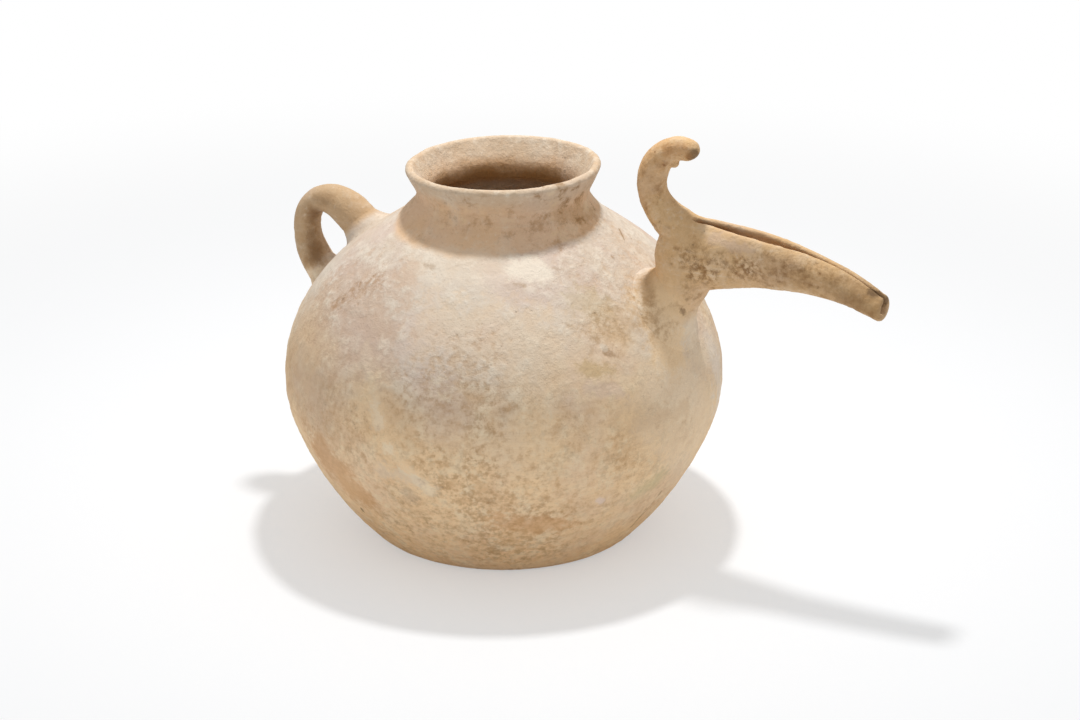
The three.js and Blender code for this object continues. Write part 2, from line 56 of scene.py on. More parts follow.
focal_pixels = LENS / SENSOR_WIDTH * IMAGE_WIDTH
camera_right = Vector((math.cos(CAMERA_ROUND), math.sin(CAMERA_ROUND), 0))
camera_level = Vector((math.sin(CAMERA_ROUND), -math.cos(CAMERA_ROUND), 0))
camera_back = camera_level * math.cos(CAMERA_RISE) + Vector((0, 0, math.sin(CAMERA_RISE)))
camera_up = camera_back.cross(camera_right)
camera_place = JAR_MIDDLE + camera_back * CAMERA_DISTANCE
aside = camera_right * (IMAGE_WIDTH / 2 - JAR_MIDDLE_PIXEL[0])
below = camera_up * (IMAGE_HEIGHT / 2 - JAR_MIDDLE_PIXEL[1])
camera_turn = (aside - below - camera_back * focal_pixels).to_track_quat("-Z", "Y")

camera_data = bpy.data.cameras.new("camera")
camera_data.sensor_width = SENSOR_WIDTH
camera_data.lens = LENS
camera = bpy.data.objects.new("camera", camera_data)
camera.location = camera_place
camera.rotation_mode = "QUATERNION"
camera.rotation_quaternion = camera_turn
bpy.context.collection.objects.link(camera)
bpy.context.scene.camera = camera

solids = []
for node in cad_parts.values():
    corners = [corner.co for corner in node.data.vertices]
    facets = [tuple(facet.vertices) for facet in node.data.polygons]
    solids.append(BVHTree.FromPolygons(corners, facets))


def seen_at(x, y):
    """The point of the jar that lies behind a pixel of the photograph."""
    sight = Vector(((x - IMAGE_WIDTH / 2) / focal_pixels, (IMAGE_HEIGHT / 2 - y) / focal_pixels, -1))
    hits = [solid.ray_cast(camera_place, camera_turn @ sight) for solid in solids]
    return min((hit for hit in hits if hit[0]), key=lambda hit: hit[3])[0]


# The clay: gritty buff earthenware, fired without glaze and long buried. It is warm below and creamy
# on the shoulder, clouded with ochre and lilac, filmed with pale lime, and pitted where grit fell out.
FOOT_BUFF = "#f3d2a7"
SHOULDER_CREAM = "#d9cbba"
BASE_TAN = "#eabb80"
# Tan of the neck, also used as painted shade of the lip's shadow on the neck's front
NECK_TAN = "#e6c29c"
SPOUT_TAN = "#dcb788"
HANDLE_TAN = "#c6a884"
LIP_TAN = "#d6bfa4"
OCHRE = "#c99f70"
LILAC = "#d6bfb2"
LIME = "#efe4d2"
LOW_LIME = "#f0dcba"
DIRT = "#9a774f"
PIT_BROWN = "#6b4a2d"
INNER_BROWN = "#a3753f"
CLAY_SHINE = 0.25
CLAY_ROUGHNESS = 0.84
BUMP_HEIGHT = 0.0007
PIT_BUMP = 0.6
NOISE_MIDDLE = 0.5
LINE_FLATNESS = 12.0
STREAK_FLATNESS = 9.0
# How much lower the neck's tan reaches towards the front: painted shade where the lip's shadow falls
NECK_SHADOW_LEAN = 0.10
WALL_ONLY = 0.6
GRAINS_ANYWHERE = 0.4
GRAINS_ON_FILM = 0.9

# Heights and distances over which a colour of the clay comes in
CREAM_RANGE = (0.074, 0.138)
BASE_TAN_RANGE = (0.045, 0.008)
NECK_TAN_RANGE = (0.1535, 0.1560)
LIP_TAN_RANGE = (0.165, 0.173)
WORN_LIP_RANGE = (0.1725, 0.1765)
LIP_RADIUS_RANGE = (0.060, 0.050)
INNER_BROWN_RANGE = (0.170, 0.158)
INNER_RADIUS_RANGE = (0.041, 0.035)
SPOUT_TAN_RANGE = (0.211, 0.2190)
HANDLE_SIDE_RANGE = (0.02, -0.02)

# Values of the noise over which a mark comes in
CRUST_RANGE = (0.40, 0.60)
CRUMB_RANGE = (0.50, 0.64)
SEAM_RANGE = (0.50, 0.34)
GRAIN_RANGE = (0.60, 0.36)
GRAIN_FILM_RANGE = (0.36, 0.60)
PIT_RANGE = (0.32, 0.24)
OCHRE_RANGE = (0.48, 0.70)
LILAC_RANGE = (0.46, 0.64)
DARK_LINE_RANGE = (0.52, 0.80)
PALE_LINE_RANGE = (0.46, 0.26)
STREAK_RANGE = (0.56, 0.74)
FILM_RANGE = (0.50, 0.62)
DARK_BLOTCH_RANGE = (0.46, 0.26)
PALE_GRIT_RANGE = (0.58, 0.72)
SAND_RANGE = (0.44, 0.26)


class Wire:
    """A socket of a node tree. Arithmetic on wires adds Math nodes to the tree."""

    def __init__(self, tree, socket):
        self.tree = tree
        self.socket = socket

    def node(self, kind, settings, sockets, output=0):
        """An output of a new node in the same tree."""
        new = self.tree.nodes.new(kind)
        for name, value in settings.items():
            setattr(new, name, value)
        for key, value in sockets.items():
            if isinstance(value, Wire):
                self.tree.links.new(value.socket, new.inputs[key])
            else:
                new.inputs[key].default_value = value
        return Wire(self.tree, new.outputs[output])

    def math(self, operation, first, second):
        return self.node("ShaderNodeMath", {"operation": operation}, {0: first, 1: second})

    def vector_math(self, operation, first, second, output="Vector"):
        return self.node("ShaderNodeVectorMath", {"operation": operation}, {0: first, 1: second}, output)

    def axis(self, name):
        return self.node("ShaderNodeSeparateXYZ", {}, {0: self}, name)

    def length(self):
        return self.node("ShaderNodeVectorMath", {"operation": "LENGTH"}, {0: self}, "Value")

    def scaled(self, size):
        return self.node("ShaderNodeVectorMath", {"operation": "SCALE"}, {0: self, "Scale": size})

    def flattened(self, times):
        """The place with its height multiplied, so that noise in it lies in level bands."""
        return self.vector_math("MULTIPLY", self, (1.0, 1.0, times))

    def __add__(self, other):
        return self.math("ADD", self, other)

    def __radd__(self, other):
        return self.math("ADD", other, self)

    def __sub__(self, other):
        return self.math("SUBTRACT", self, other)

    def __rsub__(self, other):
        return self.math("SUBTRACT", other, self)

    def __mul__(self, other):
        return self.math("MULTIPLY", self, other)

    def __rmul__(self, other):
        return self.math("MULTIPLY", other, self)

    def __truediv__(self, other):
        return self.math("DIVIDE", self, other)


def tint(code):
    """A colour written as a hex code, in linear light by the sRGB curve."""
    parts = [int(code[i:i + 2], 16) / 255 for i in (1, 3, 5)]
    return [p / 12.92 if p < 0.04045 else ((p + 0.055) / 1.055) ** 2.4 for p in parts] + [1.0]


def cloud(place, size, seed, detail=3.0, roughness=0.55):
    """Soft blotches about as wide as a size; values lie about a half."""
    sockets = {"Vector": place, "W": seed, "Scale": 1 / size, "Detail": detail, "Roughness": roughness}
    return place.node("ShaderNodeTexNoise", {"noise_dimensions": "4D"}, sockets)


def step(value, start, end):
    """Rises softly from nothing at the start to one at the end."""
    sockets = {"Value": value, "From Min": start, "From Max": end}
    return value.node("ShaderNodeMapRange", {"interpolation_type": "SMOOTHSTEP"}, sockets)


def sway(field, by):
    """A field of noise as a swing to both sides of nothing."""
    return (field - NOISE_MIDDLE) * by


def film_over(place):
    """The film of lime, which lies on the clay in colour and in form."""
    return cloud(place, size=0.012, seed=15.0, detail=6.0, roughness=0.68)


def crust_over(place):
    """Where the clay is crusted and pitted, in colour and in form."""
    return step(cloud(place, size=0.045, seed=9.0, detail=4.0), *CRUST_RANGE)


def laid_over(under, over, share):
    """One colour over another, by a share from nothing to one."""
    return share.node("ShaderNodeMix", {"data_type": "RGBA"}, {0: share, 6: under, 7: over}, 2)


clay = bpy.data.materials.new("buff_clay")
clay.use_nodes = True
clay_shader = clay.node_tree.nodes["Principled BSDF"]
clay_shader.inputs["Specular IOR Level"].default_value = CLAY_SHINE
clay_place = Wire(clay.node_tree, clay.node_tree.nodes.new("ShaderNodeTexCoord").outputs["Object"])
clay_east = clay_place.axis("X")
clay_north = clay_place.axis("Y")
clay_height = clay_place.axis("Z")

broad = cloud(clay_place, size=0.060, seed=1.0, detail=4.0)
blotch = cloud(clay_place, size=0.024, seed=2.0, detail=6.0, roughness=0.64)
patch = cloud(clay_place, size=0.040, seed=3.0, detail=5.0, roughness=0.6)
lilac_patch = cloud(clay_place, size=0.050, seed=4.0, detail=5.0, roughness=0.6)
crumb = cloud(clay_place, size=0.0060, seed=5.0, detail=5.0, roughness=0.7)
grit = cloud(clay_place, size=0.0026, seed=6.0, detail=3.0, roughness=0.65)
sand = cloud(clay_place, size=0.0011, seed=7.0, detail=2.0, roughness=0.6)
wheel_line = cloud(clay_place.flattened(LINE_FLATNESS), size=0.030, seed=8.0, detail=5.0, roughness=0.65)
streak = cloud(clay_place.flattened(STREAK_FLATNESS), size=0.012, seed=16.0, detail=5.0, roughness=0.7)
film = film_over(clay_place)
crusted = crust_over(clay_place)

crumbs = step(crumb, *CRUMB_RANGE)
seams = step(crumb, *SEAM_RANGE)
grains = step(grit, *GRAIN_RANGE) * (GRAINS_ANYWHERE + GRAINS_ON_FILM * step(film, *GRAIN_FILM_RANGE))
creamy = step(clay_height + sway(broad, by=0.10) + sway(blotch, by=0.05), *CREAM_RANGE)
bare = 1 - creamy
pits = step(grit, *PIT_RANGE) * crusted
out_from_wall = clay_east.math("ABSOLUTE", clay_east, 0.0) + clay_height + sway(blotch, by=0.010)
drawn_out = step(out_from_wall, *SPOUT_TAN_RANGE)
# The neck's own tan, reaching lower on the front to paint the lip's shadow there as shade
neck_tan_and_lip_shadow = step(clay_height - NECK_SHADOW_LEAN * clay_north + sway(blotch, by=0.006), *NECK_TAN_RANGE)
on_wall_only = 1 - WALL_ONLY * drawn_out.math("MAXIMUM", drawn_out, neck_tan_and_lip_shadow)
off_axis = clay_place.flattened(0.0).length()
in_mouth = step(off_axis, *INNER_RADIUS_RANGE)
in_mouth = in_mouth * step(clay_height + sway(blotch, by=0.03), *INNER_BROWN_RANGE)
uneven_height = clay_height + sway(blotch, by=0.012)
beside_lip = step(off_axis, *LIP_RADIUS_RANGE)
on_lip = step(uneven_height, *LIP_TAN_RANGE) * beside_lip
worn_lip = step(uneven_height, *WORN_LIP_RANGE) * beside_lip


def coat(colour, share, strength=1.0):
    """Lays one more colour over the clay, by a share of its strength."""
    surface = clay_shader.inputs["Base Color"]
    under = Wire(clay.node_tree, surface.links[0].from_socket)
    over = colour if isinstance(colour, Wire) else tint(colour)
    clay.node_tree.links.new(laid_over(under, over, share * strength).socket, surface)


pale = laid_over(tint(LOW_LIME), tint(LIME), creamy)
body = laid_over(tint(FOOT_BUFF), tint(SHOULDER_CREAM), creamy)
clay.node_tree.links.new(body.socket, clay_shader.inputs["Base Color"])
coat(BASE_TAN, step(clay_height, *BASE_TAN_RANGE), strength=0.3)
# The neck's tan, with painted shade of the lip's shadow along its front
coat(NECK_TAN, neck_tan_and_lip_shadow)
coat(SPOUT_TAN, drawn_out)
coat(HANDLE_TAN, drawn_out * step(clay_east, *HANDLE_SIDE_RANGE))
coat(LIP_TAN, on_lip)
coat(OCHRE, step(patch, *OCHRE_RANGE) * on_wall_only, strength=0.4)
coat(LILAC, step(lilac_patch, *LILAC_RANGE) * on_wall_only, strength=0.22 + 0.33 * creamy)
coat(DIRT, step(wheel_line, *DARK_LINE_RANGE), strength=0.22)
coat(pale, step(wheel_line, *PALE_LINE_RANGE), strength=0.2)
coat(DIRT, step(streak, *STREAK_RANGE) * on_wall_only, strength=0.26)
coat(pale, step(film, *FILM_RANGE) * on_wall_only, strength=0.28 + 0.12 * creamy)
coat(OCHRE, step(blotch, *DARK_BLOTCH_RANGE) * on_wall_only, strength=0.35)
coat(OCHRE, seams, strength=0.12 + 0.22 * bare + 0.19 * crusted)
coat(pale, crumbs * on_wall_only, strength=0.12 + 0.18 * bare + 0.24 * crusted)
coat(DIRT, grains, strength=0.06 + 0.09 * bare + 0.11 * crusted)
coat(pale, step(grit, *PALE_GRIT_RANGE), strength=0.25)
coat(PIT_BROWN, pits, strength=0.3)
coat(DIRT, step(sand, *SAND_RANGE), strength=0.2)
coat(pale, worn_lip * crumbs, strength=0.35)
coat(INNER_BROWN, in_mouth, strength=0.9)

relief = sway(grit, by=0.6) + sway(sand, by=0.3) + sway(crumb, by=0.5 + crusted) + sway(blotch, by=0.7)
bumps = {"Height": relief - pits * PIT_BUMP, "Distance": BUMP_HEIGHT}
bumped = clay_place.node("ShaderNodeBump", {}, bumps, "Normal")
roughness = CLAY_ROUGHNESS + sway(blotch, by=0.2)
clay.node_tree.links.new(bumped.socket, clay_shader.inputs["Normal"])
clay.node_tree.links.new(roughness.socket, clay_shader.inputs["Roughness"])
rough_edge = sway(blotch, by=2.0) + sway(crumb, by=2.5) + sway(grit, by=1.0)


def stain(mark, colour, reach, strength, ragged=1.0, soft=0.7, through=1.0):
    """Colours the clay about the line seen between a mark's two pixels, with a ragged edge."""
    start, end = [seen_at(*pixel) for pixel in mark]
    along = end - start
    off = clay_place.vector_math("SUBTRACT", clay_place, start)
    share = off.vector_math("DOT_PRODUCT", off, along / along.length_squared, "Value")
    share = share.node("ShaderNodeClamp", {}, {"Value": share})
    beside = share.node("ShaderNodeVectorMath", {"operation": "SCALE"}, {0: along, "Scale": share})
    distance = off.vector_math("SUBTRACT", off, beside).length()
    edge = distance * (1 / reach) + rough_edge * ragged
    coat(colour, step(edge, 1.0, 1.0 - soft) * through, strength)


# The base: a flat slab of clay that the wall was raised on. Its lower edge is rubbed round by wear.
# The slab is turned about the wheel's axis with the rest of the wall, so it shares the wall's outline.
BASE_RADIUS = 0.064
BASE_EDGE_WEAR = 0.003
BELLY_RADIUS = 0.104
BELLY_HEIGHT = 0.075
NECK_ROOT_RADIUS = 0.0495
NECK_ROOT_HEIGHT = 0.152
LIP_RADIUS = 0.045
LIP_HEIGHT = 0.1758
FOOT_BEND = (42.5, 0.023)
BELLY_LOWER_BEND = (90, 0.024)
BELLY_UPPER_BEND = (90, 0.048)
SHOULDER_BEND = (135, 0.007)
NECK_BEND = (135, 0.019)
LIP_BEND = (63, 0.0125)
WALL = 0.006
LIP_THICKNESS = 0.004
MOUTH_TILT = 1.6
BASE_SEAM_HEIGHT = 0.008
NECK_SEAM_HEIGHT = 0.151
LIP_SEAM_HEIGHT = 0.167
SEAM_BEVEL = 0.005
WORN_FLOOR_BEND = (0, 0.0025)
WORN_WALL_BEND = (44, 0.002)
WORN_STEPS = 8
FLOOR_RINGS = 24
INNER_FLOOR_RINGS = 20
WHEEL_STEPS = 640
OUTER_STEP = 0.001
INNER_STEP = 0.003
TANGENT_STEP = 0.0005
MERGE_DISTANCE = 1e-5
SHARP_ANGLE = 0.7
WALL_UNEVENNESS = 0.0008
WHEEL_RIDGE = 0.00015
PIT_DEPTH = 0.0002
FLAKE_HEIGHT = 0.00025
LIP_CHIP = 0.0007
LIP_CHIP_RANGE = (0.162, 0.176)
PIT_HOLE_RANGE = (0.40, 0.28)
DENT_SHARE = 0.6
RIDGE_STRETCH = (0.1, 0.1, 1.0)


def heading(angle):
    """The direction of an angle in degrees, in the upright plane through spout and handle."""
    return np.array([math.cos(math.radians(angle)), math.sin(math.radians(angle))])


def bend(start, start_bend, end, end_bend, steps=200):
    """Points of a smooth line between two points; each has a heading and a pull that holds it."""
    leaving = start + heading(start_bend[0]) * start_bend[1]
    reaching = end - heading(end_bend[0]) * end_bend[1]
    t = np.linspace(0, 1, steps)[:, None]
    curve = (1 - t) ** 3 * start + 3 * (1 - t) ** 2 * t * leaving
    return curve + 3 * (1 - t) * t ** 2 * reaching + t ** 3 * end


def distances(line):
    """How far along a line each of its points lies."""
    return np.concatenate([[0], np.cumsum(np.linalg.norm(np.diff(line, axis=0), axis=1))])


def between(start, end, share):
    return start + (end - start) * share


def points_along(line, distance):
    """Points of a line at distances along it."""
    return np.stack([np.interp(distance, distances(line), line[:, i]) for i in (0, 1)], axis=-1)


def smooth(value, start, end):
    share = np.clip((value - start) / (end - start), 0, 1)
    return share * share * (3 - 2 * share)


foot = np.array([BASE_RADIUS, 0])
belly = np.array([BELLY_RADIUS, BELLY_HEIGHT])
neck_root = np.array([NECK_ROOT_RADIUS, NECK_ROOT_HEIGHT])
lip_edge = np.array([LIP_RADIUS, LIP_HEIGHT])
outline = np.vstack([
    bend(foot, FOOT_BEND, belly, BELLY_LOWER_BEND)[:-1],
    bend(belly, BELLY_UPPER_BEND, neck_root, SHOULDER_BEND)[:-1],
    bend(neck_root, NECK_BEND, lip_edge, LIP_BEND),
])
outline_along = distances(outline)
outline_length = outline_along[-1]


def along_at(height):
    return np.interp(height, outline[:, 1], outline_along)


def radius_at(height):
    return np.interp(height, outline[:, 1], outline[:, 0])


def outside(along):
    """Points of the wall's outer face, as radius and height."""
    return points_along(outline, along)


def inside(along):
    """Points of the inner face: the wall thins from the neck's root to the lip."""
    ahead = outside(np.minimum(along + TANGENT_STEP, outline_length))
    behind = outside(np.maximum(along - TANGENT_STEP, 0))
    run = (ahead - behind) / np.linalg.norm(ahead - behind, axis=1)[:, None]
    neck_start = along_at(NECK_ROOT_HEIGHT)
    neck_share = np.clip((along - neck_start) / (outline_length - neck_start), 0, 1)
    thickness = between(WALL, LIP_THICKNESS, neck_share)
    return outside(along) + np.stack([-run[:, 1], run[:, 0]], axis=1) * thickness[:, None]


def stations(start, end, spacing):
    """Distances from start to end, both among them, about a spacing apart."""
    return np.linspace(start, end, max(2, round(abs(end - start) / spacing)) + 1)


def node_tree(name, inputs):
    """A new geometry tree and its inputs by name."""
    tree = bpy.data.node_groups.new(name, "GeometryNodeTree")
    for input_name, kind in inputs.items():
        tree.interface.new_socket(input_name, in_out="INPUT", socket_type="NodeSocket" + kind)
    tree.interface.new_socket("Piece", in_out="OUTPUT", socket_type="NodeSocketGeometry")
    entry = tree.nodes.new("NodeGroupInput")
    return tree, {input_name: Wire(tree, entry.outputs[input_name]) for input_name in inputs}


def end_tree(piece, material):
    """Closes a tree: a plain mesh of one material, smooth but for its real edges."""
    angle = piece.node("GeometryNodeInputMeshEdgeAngle", {}, {}, "Unsigned Angle")
    sharp = angle.node("FunctionNodeCompare", {"operation": "GREATER_THAN"}, {0: angle, 1: SHARP_ANGLE})
    piece = piece.node("GeometryNodeRealizeInstances", {}, {0: piece})
    piece = piece.node("GeometryNodeSetShadeSmooth", {"domain": "FACE"}, {0: piece, 2: True})
    piece = piece.node("GeometryNodeSetShadeSmooth", {"domain": "EDGE"}, {0: piece, 1: sharp, 2: False})
    piece = piece.node("GeometryNodeSetMaterial", {}, {0: piece, "Material": material})
    leave = piece.tree.nodes.new("NodeGroupOutput")
    piece.tree.links.new(piece.socket, leave.inputs[0])


# The wheel turns a profile, whose points are (radius, 0, height), once round the upright axis
wheel, given = node_tree("Thrown wall", {
    "Profile": "Geometry", "Wheel steps": "Int", "Closing row": "Int", "Mouth tilt": "Float",
    "Neck root height": "Float", "Lip height": "Float", "Clay": "Material",
})
profile = given["Profile"]
point_count = profile.node("GeometryNodeAttributeDomainSize", {}, {0: profile}, "Point Count")
rows = point_count.node("FunctionNodeIntegerMath", {}, {0: point_count, 1: given["Closing row"]})
index = profile.node("GeometryNodeInputIndex", {}, {})
column = index.node("FunctionNodeIntegerMath", {"operation": "DIVIDE_FLOOR"}, {0: index, 1: rows})
row = index.node("FunctionNodeIntegerMath", {"operation": "MODULO"}, {0: index, 1: rows})
row = row.node("FunctionNodeIntegerMath", {"operation": "MODULO"}, {0: row, 1: point_count})
position = profile.node("GeometryNodeInputPosition", {}, {})
sample = {"Geometry": profile, "Value": position, "Index": row}
station = profile.node("GeometryNodeSampleIndex", {"data_type": "FLOAT_VECTOR"}, sample)
radius = station.axis("X")
station_height = station.axis("Z")
turn = column * math.tau / given["Wheel steps"]
east = radius * turn.math("COSINE", turn, 0.0)
north = radius * turn.math("SINE", turn, 0.0)
leaning = step(station_height, given["Neck root height"], given["Lip height"])
rise = east * turn.math("TANGENT", given["Mouth tilt"], 0.0) * leaning
turned = turn.node("ShaderNodeCombineXYZ", {}, {0: east, 1: north, 2: station_height + rise})
grid = turn.node("GeometryNodeMeshGrid", {}, {"Vertices X": given["Wheel steps"] + 1, "Vertices Y": rows})
wall_mesh = grid.node("GeometryNodeSetPosition", {}, {"Geometry": grid, "Position": turned})
wall_mesh = wall_mesh.node("GeometryNodeMergeByDistance", {}, {0: wall_mesh, "Distance": MERGE_DISTANCE})
end_tree(wall_mesh, given["Clay"])

# Hand and weather leave the clay uneven: broad hollows, wheel ridges, pits and flakes of crust
weather, given = node_tree("Hand and weather", {
    "Bare piece": "Geometry", "Unevenness": "Float", "Wheel ridge": "Float", "Pit depth": "Float",
    "Flake height": "Float", "Lip chip": "Float", "Along normal": "Float", "Clay": "Material",
})
spot = given["Bare piece"].node("GeometryNodeInputPosition", {}, {})
normal = spot.node("GeometryNodeInputNormal", {}, {})
outward = spot.flattened(0.0)
outward = outward.node("ShaderNodeVectorMath", {"operation": "NORMALIZE"}, {0: outward})
sockets = {0: given["Along normal"], 4: outward, 5: normal}
out_of_clay = spot.node("ShaderNodeMix", {"data_type": "VECTOR"}, sockets, 1)
hollows = sway(cloud(spot, size=0.065, seed=11.0, detail=2.0), by=given["Unevenness"]) * 2
dents = sway(cloud(spot, size=0.020, seed=12.0, detail=3.0), by=given["Unevenness"]) * DENT_SHARE
ridge_place = spot.vector_math("MULTIPLY", spot, RIDGE_STRETCH)
ridges = sway(cloud(ridge_place, size=0.0045, seed=13.0, detail=2.0), by=given["Wheel ridge"]) * 2
pit_holes = step(cloud(spot, size=0.0034, seed=14.0, detail=2.0), *PIT_HOLE_RANGE)
pit_holes = pit_holes * crust_over(spot) * given["Pit depth"]
flakes = step(film_over(spot), *FILM_RANGE) * given["Flake height"]
at_lip = step(spot.axis("Z"), *LIP_CHIP_RANGE)
chips = sway(cloud(spot, size=0.014, seed=17.0, detail=3.0), by=at_lip) * given["Lip chip"] * 2
upward = spot.node("ShaderNodeCombineXYZ", {}, {2: chips})
fine_shift = out_of_clay.scaled(dents + ridges + flakes - pit_holes)
shift = spot.vector_math("ADD", outward.scaled(hollows), fine_shift)
shift = spot.vector_math("ADD", shift, upward)
weathered = spot.node("GeometryNodeSetPosition", {}, {"Geometry": given["Bare piece"], "Offset": shift})
end_tree(weathered, given["Clay"])


def shape(piece, tree, values):
    """Runs a piece's mesh through a tree and leaves it as a plain mesh."""
    modifier = piece.modifiers.new(tree.name, "NODES")
    modifier.node_group = tree
    for item in tree.interface.items_tree:
        if item.in_out == "INPUT" and item.name in values:
            modifier[item.identifier] = values[item.name]
    plain(piece)


def plain(piece):
    """Applies what a piece's modifiers make of it."""
    made = bpy.data.meshes.new_from_object(piece.evaluated_get(bpy.context.evaluated_depsgraph_get()))
    piece.modifiers.clear()
    piece.data = made


def placed(name, mesh):
    piece = bpy.data.objects.new(name, mesh)
    bpy.context.collection.objects.link(piece)
    return piece


def new_piece(name, corners, faces=()):
    mesh = bpy.data.meshes.new(name)
    mesh.from_pydata([tuple(corner) for corner in corners], [], list(faces))
    return placed(name, mesh)


def weathered_piece(piece, unevenness=WALL_UNEVENNESS, ridge=0.0, chip=0.0, along=1.0):
    shape(piece, weather, {
        "Unevenness": unevenness, "Wheel ridge": ridge, "Pit depth": PIT_DEPTH, "Flake height": FLAKE_HEIGHT,
        "Lip chip": chip, "Along normal": along, "Clay": clay,
    })


def thrown(name, points, closed):
    """A piece of the wall, turned from the points of its profile."""
    piece = new_piece(name, [(r, 0, z) for r, z in points])
    shape(piece, wheel, {
        "Wheel steps": WHEEL_STEPS, "Closing row": int(closed), "Mouth tilt": math.radians(MOUTH_TILT),
        "Neck root height": NECK_ROOT_HEIGHT, "Lip height": LIP_HEIGHT, "Clay": clay,
    })
    weathered_piece(piece, ridge=WHEEL_RIDGE, chip=LIP_CHIP, along=0.0)
    return piece


def stands_for(piece, node):
    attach(piece, "root")
    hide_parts(node)


base_seam = along_at(BASE_SEAM_HEIGHT)
base_floor = BASE_RADIUS - BASE_EDGE_WEAR
floor_edge = np.array([base_floor, 0])
worn = bend(floor_edge, WORN_FLOOR_BEND, outside(BASE_EDGE_WEAR), WORN_WALL_BEND, WORN_STEPS)
bevel_end = inside(np.array([base_seam - SEAM_BEVEL]))[0]
base_profile = np.vstack([
    [(r, 0) for r in np.linspace(0, base_floor, FLOOR_RINGS)[:-1]],
    worn[:-1],
    outside(stations(BASE_EDGE_WEAR, base_seam, OUTER_STEP)),
    [(r, bevel_end[1]) for r in np.linspace(bevel_end[0], 0, INNER_FLOOR_RINGS)],
])
base = thrown("base_slab", base_profile, False)
stands_for(base, "base_disc")


# The lower bowl: the lower half of the wall, thrown from the slab up to the belly. Its upper edge is
# bevelled inwards, and the joint is smoothed away outside.
BELLY_BROWN = "#ac8254"

# Marks on the bowl: the first and last pixel of each in the photograph
PALE_BELLY = ((440, 330), (540, 342))
UPPER_VEIN = ((366, 345), (380, 420))
LOWER_VEIN = ((390, 448), (430, 490))
VEIN_BRANCH = ((385, 472), (412, 478))
RED_PATCH = ((322, 452), (352, 486))
GREY_SPOT = ((405, 492), (408, 494))
DEEP_PIT = ((362, 509), (363, 511))
UPPER_SCRATCH = ((395, 521), (470, 534))
LOWER_SCRATCH = ((410, 530), (490, 545))
RIGHT_SIDE_LIGHT = ((672, 395), (696, 440))
SPECKLED_BELLY = ((450, 400), (520, 540))
GREEN_PATCH = ((640, 492), (656, 480))
LONG_GRAZE = ((637, 520), (661, 491))
SHORT_GRAZE = ((631, 527), (646, 508))
PINK_SPOT = ((599, 500), (601, 501))
FOOT_OCHRE = ((505, 522), (560, 524))
BROWN_BAND = ((640, 415), (684, 408))

belly_seam = along_at(BELLY_HEIGHT)


def wall_profile(start, end):
    """The profile of a ring of the wall between two bevelled seams."""
    outer = outside(stations(start, end, OUTER_STEP))
    inner = inside(stations(end - SEAM_BEVEL, start - SEAM_BEVEL, INNER_STEP))
    return np.vstack([outer, inner])


stain(PALE_BELLY, "#ead2b4", reach=0.028, strength=0.45, ragged=0.8)
stain(UPPER_VEIN, "#f4e2c6", reach=0.0042, strength=0.55, ragged=1.6)
stain(LOWER_VEIN, "#f6e3c4", reach=0.0046, strength=0.7, ragged=1.6)
stain(VEIN_BRANCH, "#e4d2ba", reach=0.006, strength=0.45, ragged=1.4)
stain(RED_PATCH, "#d09c69", reach=0.019, strength=0.55, ragged=0.6)
stain(GREY_SPOT, "#b8a48e", reach=0.006, strength=0.35)
stain(DEEP_PIT, PIT_BROWN, reach=0.0016, strength=0.6, ragged=0.8)
stain(UPPER_SCRATCH, DIRT, reach=0.001, strength=0.35, ragged=0.8)
stain(LOWER_SCRATCH, DIRT, reach=0.001, strength=0.35, ragged=0.8)
# Painted light: pale over the belly's right side, brightening that side
stain(RIGHT_SIDE_LIGHT, "#f2dcbe", reach=0.03, strength=0.5, ragged=0.8)
stain(SPECKLED_BELLY, BELLY_BROWN, reach=0.034, strength=0.36, ragged=0.8, through=grains)
stain(SPECKLED_BELLY, LOW_LIME, reach=0.034, strength=0.32, ragged=0.8, through=crumbs)
stain(GREEN_PATCH, "#c6ba90", reach=0.01, strength=0.5, ragged=0.7, soft=1.0)
stain(LONG_GRAZE, DIRT, reach=0.0009, strength=0.6, ragged=0.8)
stain(SHORT_GRAZE, DIRT, reach=0.0008, strength=0.5, ragged=0.8)
stain(PINK_SPOT, "#e8d2c4", reach=0.0026, strength=0.7, ragged=0.8)
stain(FOOT_OCHRE, "#cb9560", reach=0.009, strength=0.4)
stain(BROWN_BAND, "#b8946c", reach=0.007, strength=0.18)
bowl = thrown("bowl_wall", wall_profile(base_seam, belly_seam), True)
stands_for(bowl, "lower_bowl")


# The shoulder: the upper half of the wall, from the belly in to the neck's root. A round hole under
# the spout lets the jar pour; it was bored through the wall before the spout was luted over it.
SOCKET_SEAT_HEIGHT = 0.124
SOCKET_ANGLE = 54
POUR_HOLE_RADIUS = 0.008
ROUND_STEPS = 64
QUARTER_TURN = 90

# Marks on the shoulder: the first and last pixel of each in the photograph
LIME_PATCH = ((522, 270), (540, 272))
LIME_HAZE = ((440, 262), (490, 270))
PINK_SHOULDER = ((345, 290), (372, 330))
TAN_SIDE = ((305, 330), (320, 420))
RIGHT_EDGE_LIGHT = ((712, 350), (720, 390))
LIGHT_BESIDE_SPOUT = ((690, 328), (702, 352))
MIDDLE_FLECK = ((514, 284), (524, 286))
UPPER_FLECK = ((553, 268), (562, 270))
LOWER_FLECK = ((560, 320), (574, 330))
NECK_CRACK = ((619, 229), (624, 240))
SPECK = ((612, 257), (613, 258))
LEFT_FLECK = ((428, 265), (434, 267))
ROUGH_PATCH = ((340, 302), (372, 284))
OLIVE_PATCH = ((575, 300), (600, 305))
CHIP = ((606, 352), (613, 356))
CHIP_RIM = ((602, 347), (604, 348))
OCHRE_DAB = ((586, 369), (610, 372))
PINK_DAB = ((590, 389), (620, 391))

neck_seam = along_at(NECK_SEAM_HEIGHT)
socket_seat = np.array([radius_at(SOCKET_SEAT_HEIGHT), SOCKET_SEAT_HEIGHT])


